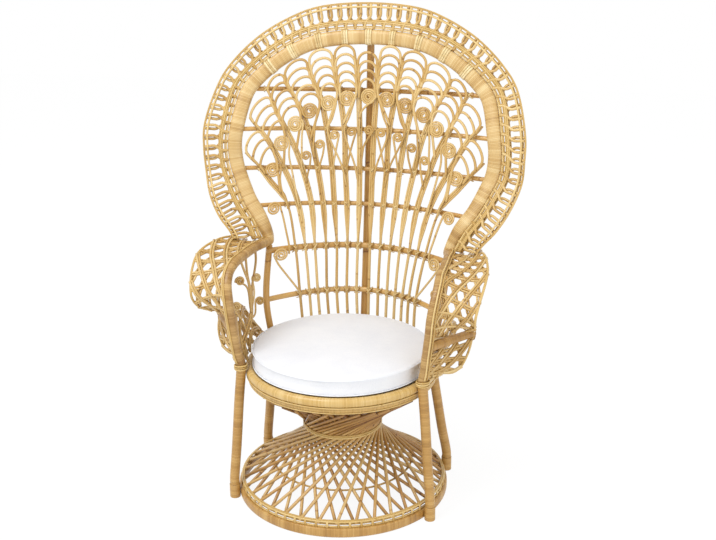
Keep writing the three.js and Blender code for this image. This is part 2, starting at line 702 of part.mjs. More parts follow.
// A line of the back from its right half, whose points are shares of a half width and a height.
function backLine(shares, halfWidth, waistHeight, topHeight) {
  const place = ([acrossShare, heightShare], side) =>
    onBack(side * halfWidth * acrossShare, THREE.MathUtils.lerp(waistHeight, topHeight, heightShare));
  const right = shares.map((share) => place(share, 1));
  const left = shares.slice(1).map((share) => place(share, -1));
  return new THREE.CatmullRomCurve3([...left.reverse(), ...right]);
}

const archCurve = backLine(archShares, arch.halfWidth, arch.waistHeight, arch.topHeight);
const rimCurve = backLine(
  rimShares,
  arch.halfWidth + rim.reach,
  arch.waistHeight + rim.waistRise,
  arch.topHeight + rim.rise,
);

const mirrorOf = (solid) => solid.mirror([1, 0, 0]);
const archPoints = archCurve.getSpacedPoints(arch.steps);
const archBand = (grow) =>
  sweep(
    archPoints,
    sectionOf(arch.bandWidth / 2 + grow, arch.bandThickness / 2 + grow, bandSides),
    facingFront,
  );
const archRoom = solidOf(archBand(seatGap));
addPart("back_arch", joined([archBand(0)], [armRoom, mirrorOf(armRoom)]), wrapped);
addPart(
  "outer_hoop",
  cane(rimCurve.getSpacedPoints(arch.steps), rim.hoopRadius, fineSides),
  rattan,
);

// Border: two meandering canes, one in front of the other, between the arch and the outer hoop.
// Each runs up one post, along to the next and down it, so that every post holds both.
function evenShares(count) {
  const samples = 12 * count;
  const middle = (share) => archCurve.getPoint(share).lerp(rimCurve.getPoint(share), 0.5);
  const lengths = [0];
  for (let i = 1; i <= samples; i++) {
    lengths.push(lengths[i - 1] + middle(i / samples).distanceTo(middle((i - 1) / samples)));
  }
  const total = lengths[samples];
  const shares = [];
  for (let i = 0; i <= count; i++) {
    const index = Math.max(lengths.findIndex((length) => length >= (total * i) / count), 1);
    const spare = lengths[index] - (total * i) / count;
    shares.push((index - spare / (lengths[index] - lengths[index - 1])) / samples);
  }
  return shares;
}

const innerEdge = (arch.bandWidth / 2) * bandFlat + border.caneRadius + border.clearance;
const outerEdge = rim.hoopRadius + border.caneRadius + border.clearance;
const cellShares = evenShares(2 * border.cells);

// A place in the border: a share of the way from its inner edge to its outer, and a layer.
function inBorder(share, outwardShare, forward) {
  const inner = archCurve.getPoint(share);
  const outer = rimCurve.getPoint(share);
  const across = outer.clone().sub(inner).normalize();
  inner.addScaledVector(across, innerEdge);
  outer.addScaledVector(across, -outerEdge);
  const place = inner.lerp(outer, outwardShare);
  return place.addScaledVector(facingFront(place), forward);
}

function borderStrand(firstUp, side, forward) {
  const points = [];
  for (let post = 0; post < border.cells; post++) {
    const middle = 2 * post + 1;
    const step = (cellShares[middle + 1] - cellShares[middle - 1]) / 2;
    const share = cellShares[middle] + side * step * border.postShare;
    const foot = inBorder(share, 0, forward);
    const head = inBorder(share, 1, forward);
    const goesUp = (post % 2 === 0) === firstUp;
    points.push(...(goesUp ? [foot, head] : [head, foot]));
  }
  return cane(points, border.caneRadius, borderSides);
}

addPart("border_front_strand", borderStrand(true, 1, border.layerStep), rattan);
addPart("border_back_strand", borderStrand(false, -1, -border.layerStep), rattan);

// Rungs: bowed canes behind the spokes, from arch to arch, and the lowest two from post to post.
const widestAt = (points, height) =>
  Math.max(...points.slice(1).map((point, i) => {
    const before = points[i];
    const share = (height - before.z) / (point.z - before.z);
    return share >= 0 && share <= 1 ? THREE.MathUtils.lerp(before.x, point.x, share) : 0;
  }));
const postRooms = [postRoom, mirrorOf(postRoom)];
const armRooms = [armRoom, mirrorOf(armRoom)];
rungs.heights.forEach((height, index) => {
  const onPosts = height < arch.waistHeight;
  const reach = onPosts
    ? widestAt(postLine, height) - rearPost.radius / 2
    : widestAt(archPoints, height) - rungs.thickness;
  // A straight step of the bow lies in front of it by this much, so the rung is set back by it.
  const sag = backDepth(0, height) - backDepth(reach / rungs.steps, height);
  const points = [];
  for (let i = 0; i <= rungs.steps; i++) {
    const x = reach * ((2 * i) / rungs.steps - 1);
    points.push(onBack(x, height, -rungs.thickness / 2 - sag));
  }
  const section = sectionOf(rungs.tallness[index] / 2, rungs.thickness / 2, ringSides);
  addPart(
    "back_rung_" + (index + 1),
    joined([sweep(points, section, facingFront)], [archRoom, ...postRooms, ...armRooms]),
    rattan,
  );
});

// Centre post: behind the rungs, from the seat hoop up behind the arch.
const postLayer = -(rungs.thickness + 2 * bendRoom + seatGap + centrePost.radius);
addPart(
  "centre_post",
  joined(
    [
      cane(
        [
          at(0, seat.centreDepth + hoopCentreRadius, seat.hoopHeight),
          ...rungs.heights.map((height) => onBack(0, height, postLayer)),
          onBack(0, arch.topHeight, postLayer),
        ],
        centrePost.radius,
        bandSides,
      ),
    ],
    [upperHoopRoom],
  ),
  pole,
);

// Fan: spokes in front of the rungs, each with the scallops of its column and its curls.
const spokeLayer = 2 * seatGap + 2 * bendRoom + fan.spokeRadius;
const frontLayer = spokeLayer + fan.spokeRadius + seatGap + 2 * bendRoom + fan.archCaneRadius;
const fanHeight = (heightShare) => THREE.MathUtils.lerp(fan.seatHeight, fan.topHeight, heightShare);
const onFan = ([acrossShare, heightShare], forward) =>
  onBack(fan.halfWidth * acrossShare, fanHeight(heightShare), forward);

const spokeLines = spokeShares.map(
  (shares) => new BentLine(shares.map((share) => onFan(share, spokeLayer))),
);

// The place on a spoke that is level with `place`, where `up` is the way that a column rises.
function levelWith(line, place, up) {
  const samples = line.getSpacedPoints(fan.samples);
  const offset = (point) => Math.abs(point.clone().sub(place).dot(up));
  return samples.reduce((best, point) => (offset(point) < offset(best) ? point : best));
}

function scallops(column) {
  const { firstShare, lastShare, count, rise } = scallopColumns[column];
  const own = spokeLines[Math.max(column - 1, 0)];
  const mirrored = own.points.map((point) => at(-point.x, point.y, point.z));
  const next = column === 0 ? new BentLine(mirrored) : spokeLines[column];
  const first = onFan(firstShare, frontLayer);
  const last = onFan(lastShare, frontLayer);
  const up = first.clone().sub(last).normalize();
  const arches = [];
  for (let i = 0; i < count; i++) {
    const crest = first.clone().lerp(last, i / (count - 1));
    const foot = crest.clone().addScaledVector(up, -rise);
    const start = levelWith(own, foot, up);
    const end = levelWith(next, foot, up);
    const lift = facingFront(foot).multiplyScalar(frontLayer - spokeLayer);
    const middle = start.clone().lerp(end, 0.5).add(lift);
    const half = middle.clone().sub(start.clone().add(lift));
    const top = crest.clone().sub(middle);
    const points = [start];
    for (let step = 1; step < fan.scallopSteps; step++) {
      const angle = (step / fan.scallopSteps) * Math.PI;
      const point = middle.clone().addScaledVector(half, -Math.cos(angle));
      points.push(point.addScaledVector(top, Math.sin(angle)));
    }
    points.push(end.clone().add(lift).lerp(middle, (fan.spokeRadius + bendRoom) / half.length()));
    arches.push(cane(points, fan.archCaneRadius, borderSides));
  }
  return arches;
}

// A curl: its stem leaves a cane, rises along the inner side, and winds in over the top.
function curl({ large, centreShare, stemShares }, forward) {
  const { radius, turns } = large ? largeCurl : smallCurl;
  const [acrossShare, heightShare] = centreShare;
  const centreX = fan.halfWidth * acrossShare;
  const centreZ = fanHeight(heightShare);
  const points = stemShares.map((share, i) => onFan(share, i === 0 ? spokeLayer : forward));
  const steps = Math.round(turns * curlStepsPerTurn);
  const pitch = 2 * fan.curlCaneRadius + curlGap;
  for (let step = 0; step <= steps; step++) {
    const angle = Math.PI - (step / curlStepsPerTurn) * 2 * Math.PI;
    const reach = radius - fan.curlCaneRadius - (step / curlStepsPerTurn) * pitch;
    points.push(onBack(centreX + reach * Math.cos(angle), centreZ + reach * Math.sin(angle), forward));
  }
  return cane(points, fan.curlCaneRadius, borderSides);
}

spokeLines.forEach(({ points }, index) => {
  const spoke = index + 1;
  const line = cane(points, fan.spokeRadius, fineSides);
  const column = spoke < scallopColumns.length ? scallops(spoke) : [];
  const own = curls.filter((each) => each.spoke === spoke && each.centreShare[0] > 0);
  const shared = curls.filter((each) => each.spoke === spoke && each.centreShare[0] === 0);
  const pieces = [line, ...column, ...own.map((each) => curl(each, frontLayer))];
  const middle = spoke === 1 ? [...scallops(0), ...shared.map((each) => curl(each, frontLayer))] : [];
  const trims = [archRoom, upperHoopRoom];
  addPart("spoke_" + spoke + "_right", joined(pieces, trims), rattan);
  addPart("spoke_" + spoke + "_left", joined([...pieces, ...middle], trims), rattan, true);
});

// The middle of the chair's depth stands over y = 0.
const extent = new THREE.Box3().setFromObject(chair);
chair.position.y = -(extent.min.y + extent.max.y) / 2;

export default chair;
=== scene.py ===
# A rattan peacock chair: wrapped arch, arms and seat, a fan of bent canes, lattice flares and a
# woven pedestal. Sizes are millimetres in the chair's own frame, and each piece ends in metres.
import math
import random

import bmesh
import bpy
from mathutils import Matrix, Vector


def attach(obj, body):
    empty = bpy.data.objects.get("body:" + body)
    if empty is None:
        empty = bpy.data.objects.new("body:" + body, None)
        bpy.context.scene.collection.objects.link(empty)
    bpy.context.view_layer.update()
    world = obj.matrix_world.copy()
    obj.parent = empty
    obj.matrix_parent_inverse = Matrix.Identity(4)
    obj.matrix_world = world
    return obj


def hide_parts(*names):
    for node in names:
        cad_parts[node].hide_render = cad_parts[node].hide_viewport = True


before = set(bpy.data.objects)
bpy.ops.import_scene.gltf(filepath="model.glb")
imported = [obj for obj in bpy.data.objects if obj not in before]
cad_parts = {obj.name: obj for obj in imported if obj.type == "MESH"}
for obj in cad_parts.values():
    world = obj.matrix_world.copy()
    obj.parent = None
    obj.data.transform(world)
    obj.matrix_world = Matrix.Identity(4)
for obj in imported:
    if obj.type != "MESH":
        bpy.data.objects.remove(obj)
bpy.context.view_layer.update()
random.seed(11)

millimetre = 0.001
frameShift = -48.652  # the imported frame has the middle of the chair's depth over y = 0


def mix(a, b, share):
    return a + (b - a) * share


def linear(hexColour):
    channels = [int(hexColour[i : i + 2], 16) / 255 for i in (1, 3, 5)]
    return [c / 12.92 if c <= 0.04045 else ((c + 0.055) / 1.055) ** 2.4 for c in channels] + [1]


# Inputs are a dictionary, or a list from the first socket on. A node stands for its first output.
def addNode(tree, kind, inputs=(), **settings):
    node = tree.nodes.new(kind)
    for name, value in settings.items():
        setattr(node, name, value)
    for socket, value in inputs.items() if isinstance(inputs, dict) else enumerate(inputs):
        if isinstance(value, bpy.types.Node):
            value = value.outputs[0]
        if isinstance(value, bpy.types.NodeSocket):
            tree.links.new(value, node.inputs[socket])
        else:
            node.inputs[socket].default_value = value
    return node


# A smooth line through given points. point() takes a share of the points, at() a share of the length.
class Line:
    def __init__(self, places, perSpan=14):
        self.places = [Vector(place) for place in places]
        steps = perSpan * (len(self.places) - 1)
        self.dense = [self.point(i / steps) for i in range(steps + 1)]
        self.runs = [0]
        for a, b in zip(self.dense, self.dense[1:]):
            self.runs.append(self.runs[-1] + (b - a).length)
        self.length = self.runs[-1]

    def point(self, share):
        p = self.places
        reach = min(max(share, 0), 1) * (len(p) - 1)
        i = min(int(reach), len(p) - 2)
        t = reach - i
        a = p[i - 1] if i > 0 else p[0] * 2 - p[1]
        d = p[i + 2] if i + 2 < len(p) else p[-1] * 2 - p[-2]
        b, c = p[i], p[i + 1]
        gaps = [max((v - u).length, 1e-6) ** 0.5 for u, v in ((a, b), (b, c), (c, d))]
        leave = ((b - a) / gaps[0] - (c - a) / (gaps[0] + gaps[1]) + (c - b) / gaps[1]) * gaps[1]
        reachIn = ((c - b) / gaps[1] - (d - b) / (gaps[1] + gaps[2]) + (d - c) / gaps[2]) * gaps[1]
        bend = b * -3 + c * 3 - leave * 2 - reachIn
        return b + leave * t + bend * t * t + (b * 2 - c * 2 + leave + reachIn) * t**3

    def at(self, share):
        run = min(max(share, 0), 1) * self.length
        low, high = 0, len(self.runs) - 1
        while high - low > 1:
            middle = (low + high) // 2
            if self.runs[middle] <= run:
                low = middle
            else:
                high = middle
        span = self.runs[high] - self.runs[low]
        return self.dense[low].lerp(self.dense[high], (run - self.runs[low]) / span if span else 0)

    def along(self, share, step=0.004):
        return (self.at(share + step) - self.at(share - step)).normalized()

    def spaced(self, count):
        return [self.at(i / count) for i in range(count + 1)]

    def every(self, gap):
        return self.spaced(max(2, round(self.length / gap)))


def flip(points):
    return [Vector((-p.x, p.y, p.z)) for p in points]


skyward = Vector((0, 0, 1))


def upward(point):
    return skyward


# The share of a line where `miss`, a function of a place on it, is least.
def shareWhere(line, miss, samples=400):
    return min((i / samples for i in range(samples + 1)), key=lambda share: miss(line.at(share)))


def newPiece():
    bm = bmesh.new()
    addLayers(bm)
    return bm


# run is the place on the strand as if it lay straight, tone is its own shade, turn counts peel turns.
def addLayers(bm):
    layers = bm.verts.layers
    return layers.float_vector.new("run"), layers.float.new("tone"), layers.float.new("turn")


def joinTo(bm, part):
    mesh = bpy.data.meshes.new("part")
    part.to_mesh(mesh)
    part.free()
    bm.from_mesh(mesh)
    bpy.data.meshes.remove(mesh)


chunk = 24  # stations drawn in one go, because each operator walks its whole mesh
strandTip = {"length": 0.35, "width": 0.62}  # shares of the section, at a strand's rounded end
caneStock = 3  # metres of cane that a strand may have been cut from


# Frames along a strand: the section's second axis keeps to `facing`, which is a function of a place or
# a list with one direction for each station, or else it turns as little as it can.
def stationFrames(points, facing, closed):
    last = len(points) - 1
    frames = []
    across = None
    for i, here in enumerate(points):
        before = points[i - 1] if i else (points[last - 1] if closed else here)
        after = points[i + 1] if i < last else (points[1] if closed else here)
        tangent = (after - before).normalized()
        if facing:
            up = facing[i] if isinstance(facing, list) else facing(here)
            up = (up - tangent * up.dot(tangent)).normalized()
        elif across is None:
            up = tangent.orthogonal().normalized()
        else:
            up = (across - tangent * across.dot(tangent)).normalized()
        across = up
        side = up.cross(tangent)
        frames.append(Matrix((side, up, tangent)).transposed().to_4x4())
        frames[-1].translation = here
    return frames


# One strand: a section drawn once and extruded from station to station, closed or with rounded ends.
def sweep(bm, points, width, height=None, sides=6, facing=None, swell=None, pitch=None,
          tone=None, square=1.0, closed=False, blunt=False):
    height = height or width
    tone = random.random() if tone is None else tone
    tones = tone if isinstance(tone, list) else [tone] * (len(points) + 2)
    start = random.random() * caneStock
    frames = stationFrames(points, facing, closed)
    sizes = [s if isinstance(s, tuple) else (s, s) for s in swell] if swell else [(1.0, 1.0)] * len(points)
    if not closed and not blunt:  # a rounded tip at each end
        tip = strandTip["length"] * min(width, height)
        for end, sign in ((0, -1), (-1, 1)):
            outer = frames[end].copy()
            outer.translation += frames[end].col[2].to_3d() * tip * sign
            frames.insert(0 if end == 0 else len(frames), outer)
            small = tuple(size * strandTip["width"] for size in sizes[end])
            sizes.insert(0 if end == 0 else len(sizes), small)
    runs = [0.0]
    for a, b in zip(frames, frames[1:]):
        runs.append(runs[-1] + (b.translation - a.translation).length)
    places = [m @ Matrix.Diagonal((width * s[0], height * s[1], 1, 1)) for m, s in zip(frames, sizes)]
    strand = bmesh.new()
    addLayers(strand)
    for first in range(0, len(places) - 1, chunk):
        final = min(first + chunk, len(places) - 1)
        part = bmesh.new()
        run, toneLayer, turn = addLayers(part)
        bmesh.ops.create_circle(part, cap_ends=False, segments=sides, radius=1)
        for v in part.verts:
            for axis in (0, 1):
                v.co[axis] = math.copysign(abs(v.co[axis]) ** square, v.co[axis])
            v[run] = (start + runs[first] * millimetre,
                      v.co.x * width * millimetre, v.co.y * height * millimetre)
            v[toneLayer] = tones[first]
            v[turn] = runs[first] / pitch if pitch else 0
        ring = part.edges[:]
        bmesh.ops.transform(part, matrix=places[first], verts=part.verts[:])
        if first == 0 and not closed:
            bmesh.ops.edgeloop_fill(part, edges=ring)
        for i in range(first + 1, final + 1):
            made = bmesh.ops.extrude_edge_only(part, edges=ring)["geom"]
            verts = {e for e in made if isinstance(e, bmesh.types.BMVert)}
            ring = [e for e in made if isinstance(e, bmesh.types.BMEdge) and set(e.verts) <= verts]
            bmesh.ops.transform(part, matrix=places[i] @ places[i - 1].inverted(), verts=list(verts))
            for v in verts:
                v[run].x = start + runs[i] * millimetre
                v[toneLayer] = tones[i]
                if pitch:
                    v[turn] = runs[i] / pitch
        if final == len(places) - 1 and not closed:
            bmesh.ops.edgeloop_fill(part, edges=ring)
        joinTo(strand, part)
    if len(places) > chunk or closed:
        bmesh.ops.remove_doubles(strand, verts=strand.verts[:], dist=0.002)
    joinTo(bm, strand)


# A strand of the right side and its mirror image on the left.
def sweepPair(bm, points, *section, **settings):
    for strand in (points, flip(points)):
        sweep(bm, strand, *section, **settings)


# A band or pole wound with peel: two rings for each turn, one on its crest and one in the groove.
def wound(bm, line, width, height=None, pitch=4.5, groove=0.45, sides=12, facing=None,
          square=1.0, closed=False, tone=0.5):
    turns = max(2, round(line.length / pitch))
    points = line.spaced(2 * turns)
    depth = 1 - groove / min(width, height or width)
    swell = [depth if i % 2 == 0 else 1.0 for i in range(len(points))]
    sweep(bm, points, width, height, sides, facing, swell, line.length / turns, tone, square, closed,
          blunt=True)


def finishPiece(name, bm, material, slotName, *nodes, body="chair"):
    bmesh.ops.recalc_face_normals(bm, faces=bm.faces[:])
    bmesh.ops.translate(bm, vec=(0, frameShift, 0), verts=bm.verts[:])
    bmesh.ops.scale(bm, vec=(millimetre,) * 3, verts=bm.verts[:])
    for face in bm.faces:
        face.smooth = True
    mesh = bpy.data.meshes.new(name)
    bm.to_mesh(mesh)
    bm.free()
    piece = bpy.data.objects.new(name, mesh)
    bpy.context.scene.collection.objects.link(piece)
    mesh.materials.append(material)
    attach(piece, body)
    if nodes:
        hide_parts(*nodes)
    triangles = sum(len(p.vertices) - 2 for p in mesh.polygons)
    print(name, triangles, "triangles")
    return piece


def bothSides(name):
    return name + "_left", name + "_right"


def newMaterial(name):
    material = bpy.data.materials.new(name)
    material.use_nodes = True
    material.node_tree.nodes.clear()
    return material, material.node_tree


# The last step of each finish: colours laid over its shade, and the shader with its other inputs.
def closeFinish(tree, shade, stops, surface):
    colours = addNode(tree, "ShaderNodeValToRGB", [shade])
    elements = colours.color_ramp.elements
    while len(elements) < len(stops):
        elements.new(0.5)
    for element, (place, colour) in zip(elements, stops):
        element.position = place
        element.color = linear(colour)
    shader = addNode(tree, "ShaderNodeBsdfPrincipled", {"Base Color": colours, **surface})
    addNode(tree, "ShaderNodeOutputMaterial", [shader])


# Rattan cane with its skin on, scraped and varnished: long fibre streaks, a darker joint every
# hand's breadth or two, and a soft gloss. Streaks are 0.8 mm on the real cane and drawn 1.6 mm wide.
def caneFinish(name, dark, middle, light, jointGap, jointDark, jointWidth=0.0045, roughness=0.28):
    material, tree = newMaterial(name)
    run = addNode(tree, "ShaderNodeAttribute", attribute_name="run").outputs["Vector"]
    tone = addNode(tree, "ShaderNodeAttribute", attribute_name="tone").outputs["Fac"]
    fine = addNode(tree, "ShaderNodeMapping", {"Vector": run, "Scale": (26, 620, 620)})
    streak = addNode(tree, "ShaderNodeTexNoise", {"Vector": fine, "Scale": 1, "Detail": 3, "Roughness": 0.6})
    slow = addNode(tree, "ShaderNodeMapping", {"Vector": run, "Scale": (9, 90, 90)})
    cloud = addNode(tree, "ShaderNodeTexNoise", {"Vector": slow, "Scale": 1, "Detail": 2})
    along = addNode(tree, "ShaderNodeSeparateXYZ", [run])
    uneven = addNode(tree, "ShaderNodeMath", [cloud, 0.02, along], operation="MULTIPLY_ADD")
    beat = addNode(tree, "ShaderNodeMath", [uneven, jointGap / 2], operation="PINGPONG")
    joint = addNode(tree, "ShaderNodeMath", [beat, -1 / jointWidth, 1], operation="MULTIPLY_ADD")
    joint.use_clamp = True
    shade = 0
    for part, weight in ((tone, 0.34), (streak, 0.46), (cloud, 0.34), (joint, -jointDark)):
        shade = addNode(tree, "ShaderNodeMath", [part, weight, shade], operation="MULTIPLY_ADD")
    shade.use_clamp = True
    relief = addNode(tree, "ShaderNodeMath", [joint, 1.6, streak], operation="MULTIPLY_ADD")
    bump = addNode(tree, "ShaderNodeBump", {"Strength": 0.35, "Distance": 0.0005, "Height": relief})
    gloss = addNode(tree, "ShaderNodeMath", [cloud, 0.16, roughness], operation="MULTIPLY_ADD")
    closeFinish(tree, shade, [(0.12, dark), (0.5, middle), (0.84, light)], {
        "Roughness": gloss, "Normal": bump, "IOR": 1.5, "Coat Weight": 0.18, "Coat Roughness": 0.22})
    return material


# Split rattan peel wound edge to edge: each turn has its own shade, batches of turns drift between
# straw and honey, and a thin dark line of painted shade lies in the groove between turns.
def peelFinish(name, dark, middle, light, paintedGrooveShade, roughness=0.36, variety=1.0):
    material, tree = newMaterial(name)
    run = addNode(tree, "ShaderNodeAttribute", attribute_name="run").outputs["Vector"]
    turn = addNode(tree, "ShaderNodeAttribute", attribute_name="turn").outputs["Fac"]
    tone = addNode(tree, "ShaderNodeAttribute", attribute_name="tone").outputs["Fac"]
    number = addNode(tree, "ShaderNodeMath", [turn], operation="FLOOR")
    own = addNode(tree, "ShaderNodeTexWhiteNoise", {"W": number}, noise_dimensions="1D")
    drift = addNode(tree, "ShaderNodeMath", [turn, 0.09], operation="MULTIPLY")
    batch = addNode(tree, "ShaderNodeTexNoise", {"W": drift, "Scale": 1, "Detail": 2}, noise_dimensions="1D")
    fine = addNode(tree, "ShaderNodeMapping", {"Vector": run, "Scale": (900, 60, 60)})
    streak = addNode(tree, "ShaderNodeTexNoise", {"Vector": fine, "Scale": 1, "Detail": 2})
    groove = turn  # 1 at the edges of a turn, and nothing over most of it
    for operation, value in (("FRACT", 0), ("SUBTRACT", 0.5), ("ABSOLUTE", 0), ("MULTIPLY", 2), ("POWER", 5)):
        groove = addNode(tree, "ShaderNodeMath", [groove, value], operation=operation)
    shade = 0.51 * (1 - variety) - 0.35 * 0.42  # variety spreads the shades about their middle
    # the last weight darkens the groove between turns, as painted shade
    for part, weight in ((own, 0.2 * variety), (batch, 0.62 * variety), (streak, 0.2 * variety),
                         (tone, 0.42), (groove, -paintedGrooveShade)):
        shade = addNode(tree, "ShaderNodeMath", [part, weight, shade], operation="MULTIPLY_ADD")
    shade.use_clamp = True
    crown = addNode(tree, "ShaderNodeMath", [1, groove], operation="SUBTRACT")
    relief = addNode(tree, "ShaderNodeMath", [streak, 0.6, crown], operation="MULTIPLY_ADD")
    bump = addNode(tree, "ShaderNodeBump", {"Strength": 0.3, "Distance": 0.0005, "Height": relief})
    gloss = addNode(tree, "ShaderNodeMath", [own, 0.14, roughness], operation="MULTIPLY_ADD")
    closeFinish(tree, shade, [(0.08, dark), (0.5, middle), (0.82, light)], {
        "Roughness": gloss, "Normal": bump, "IOR": 1.5, "Coat Weight": 0.15, "Coat Roughness": 0.25})
    return material


# Plain-woven cotton canvas: matt, with soft sheen. Its threads are 0.5 mm and drawn 1.4 mm apart.
def cottonFinish(name, shadeColour, clothColour, threadGap=0.0014):
    material, tree = newMaterial(name)
    place = addNode(tree, "ShaderNodeTexCoord").outputs["Object"]
    threads = []
    for axis in addNode(tree, "ShaderNodeSeparateXYZ", [place]).outputs:
        phase = addNode(tree, "ShaderNodeMath", [axis, 2 * math.pi / threadGap], operation="MULTIPLY")
        threads.append(addNode(tree, "ShaderNodeMath", [phase], operation="SINE"))
    level = addNode(tree, "ShaderNodeMath", threads[:2], operation="MULTIPLY")
    weave = addNode(tree, "ShaderNodeMath", [threads[2], 0.5, level], operation="MULTIPLY_ADD")
    rumple = addNode(tree, "ShaderNodeTexNoise", {
        "Vector": place, "Scale": 9, "Detail": 3, "Roughness": 0.55})
    fleck = addNode(tree, "ShaderNodeTexNoise", {"Vector": place, "Scale": 320, "Detail": 2})
    # the hollows of the rumple get the darker shade colour, a painted shade in the creases, and fine flecks
    # vary it
    shade = 0
    for part, weight in ((rumple, 0.55), (fleck, 0.45)):
        shade = addNode(tree, "ShaderNodeMath", [part, weight, shade], operation="MULTIPLY_ADD")
    fine = addNode(tree, "ShaderNodeBump", {"Strength": 0.12, "Distance": 0.0004, "Height": weave})
    bump = addNode(tree, "ShaderNodeBump", {
        "Strength": 0.25, "Distance": 0.004, "Height": rumple, "Normal": fine})
    closeFinish(tree, shade, [(0.25, shadeColour), (0.6, clothColour)], {
        "Roughness": 0.92, "Normal": bump, "Sheen Weight": 0.12, "Sheen Roughness": 0.5})
    return material


caneSkin = caneFinish("varnished rattan cane", "#85591F", "#C59F5B", "#DFC48A", 0.42, 0.36)
darkCane = caneFinish("thick rattan pole", "#7A4C1C", "#BE9048", "#D6AE6A", 0.3, 0.4)
stemCane = caneFinish("thin rattan core", "#96702E", "#CDAA64", "#E6CC90", 0.7, 0.3)
spindleCane = caneFinish("smoked rattan spindle", "#6B3C10", "#BB8E4C", "#D9BC80", 0.5, 0.36)
archPeel = peelFinish("split rattan peel", "#92682F", "#CCA96C", "#E2CA96", 0.36)
hoopPeel = peelFinish("smooth varnished peel", "#92682F", "#CAA55E", "#E4CB92", 0.14, 0.24, 0.45)
polePeel = peelFinish("honey rattan peel", "#80561F", "#B68A46", "#CEA866", 0.28)
tiePeel = peelFinish("pale binding peel", "#B0894E", "#D9BE84", "#EBD7A8", 0.2)
canvas = cottonFinish("white cotton canvas", "#DDE0E7", "#E9EBEF")
print("finishes made")


# The surface of the back, which the fan, the arch and the border lie on
backSurface = {
    # height, half width, depth at the middle, bow at the half width
    "stations": [
        (435, 260, 291.5, 139), (567, 260, 291.5, 139), (715, 275, 315.5, 104), (853, 348, 336, 87),
        (968, 401, 351, 65), (1096, 400, 366, 67), (1222, 335, 381, 30), (1500, 335, 407, 22),
    ],
    "feelerStep": 15,
}


def backDepth(x, z):
    rows = backSurface["stations"]
    i = 0
    while i < len(rows) - 2 and z > rows[i + 1][0]:
        i += 1
    low, high = rows[i], rows[i + 1]
    share = (z - low[0]) / (high[0] - low[0])
    return mix(low[2], high[2], share) - mix(low[3] / low[1] ** 2, high[3] / high[1] ** 2, share) * x * x


def backNormal(x, z):
    step = backSurface["feelerStep"]
    across = (backDepth(x + step, z) - backDepth(x - step, z)) / (2 * step)
    rising = (backDepth(x, z + step) - backDepth(x, z - step)) / (2 * step)
    return Vector((across, -1, rising)).normalized()


def onBack(x, z, forward=0):
    return Vector((x, backDepth(x, z), z)) + backNormal(x, z) * forward


def facingFront(point):
    return backNormal(point.x, point.z)


def backLine(shares, halfWidth, waistHeight, topHeight):
    right = [onBack(halfWidth * a, mix(waistHeight, topHeight, b)) for a, b in shares]
    left = [onBack(-halfWidth * a, mix(waistHeight, topHeight, b)) for a, b in shares[1:]]
    return Line(left[::-1] + right)


# Arch: a broad wrapped band, with pale straps over it where the spokes are tied on
arch = {
    "halfWidth": 430, "waistHeight": 750, "topHeight": 1391, "bandWidth": 48, "bandThickness": 30,
    "peelPitch": 4.4, "strapWidth": 7, "strapThickness": 0.9, "strapGap": 7.3, "strapPitch": 4,
    "strapAngles": (-215, 35), "strapSteps": 20, "strapCorner": 0.72,
    "shares": [
        (0, 1), (0.35, 0.98), (0.515, 0.945), (0.7, 0.873), (0.86, 0.78), (0.925, 0.72), (0.985, 0.55),
        (1, 0.46), (0.985, 0.365), (0.93, 0.275), (0.863, 0.188), (0.767, 0.097), (0.7, 0),
    ],
}
rim = {
    "halfWidth": 524, "waistHeight": 765, "topHeight": 1496,
    "shares": [
        (0, 1), (0.32, 0.98), (0.495, 0.935), (0.68, 0.858), (0.84, 0.752), (0.925, 0.664), (0.998, 0.475),
        (1, 0.375), (0.99, 0.28), (0.935, 0.175), (0.86, 0.09), (0.79, 0.035), (0.755, 0),
    ],
}
archLine = backLine(arch["shares"], arch["halfWidth"], arch["waistHeight"], arch["topHeight"])
rimLine = backLine(rim["shares"], rim["halfWidth"], rim["waistHeight"], rim["topHeight"])

# Fan: where the spokes, scallops and curls lie, as shares of its half width and of its height
fan = {
    "halfWidth": 430, "seatHeight": 435, "topHeight": 1391,
    "spokeRadius": 5.1, "spokeTipRadius": 3.4, "spokeLayer": 6.3, "frontLayer": 15.3,
    "spokes": [
        [(0.042, 0), (0.05, 0.14), (0.048, 0.44), (0.056, 0.69), (0.07, 0.82), (0.098, 1)],
        [(0.12, 0), (0.128, 0.14), (0.132, 0.29), (0.145, 0.44), (0.163, 0.56), (0.175, 0.69),
         (0.222, 0.82), (0.256, 0.9), (0.272, 1)],
        [(0.19, 0), (0.205, 0.14), (0.214, 0.29), (0.244, 0.44), (0.267, 0.56), (0.31, 0.69),
         (0.375, 0.812), (0.435, 0.87), (0.485, 0.965)],
        [(0.26, 0), (0.277, 0.14), (0.295, 0.29), (0.33, 0.44), (0.38, 0.56), (0.453, 0.69),
         (0.563, 0.797), (0.623, 0.843), (0.67, 0.91)],
        [(0.325, 0), (0.342, 0.14), (0.377, 0.29), (0.42, 0.44), (0.5, 0.56), (0.565, 0.637),
         (0.693, 0.744), (0.749, 0.797), (0.82, 0.855)],
        [(0.385, 0), (0.4, 0.14), (0.447, 0.295), (0.52, 0.442), (0.644, 0.5625), (0.697, 0.607),
         (0.79, 0.674), (0.87, 0.711), (0.965, 0.775)],
        [(0.445, 0), (0.463, 0.14), (0.516, 0.296), (0.605, 0.444), (0.73, 0.5115), (0.82, 0.56),
         (0.888, 0.592), (0.975, 0.64)],
    ],
}


def onFan(place, forward):
    return onBack(fan["halfWidth"] * place[0], mix(fan["seatHeight"], fan["topHeight"], place[1]), forward)


spokeLines = [Line([onFan(share, fan["spokeLayer"]) for share in shares]) for shares in fan["spokes"]]


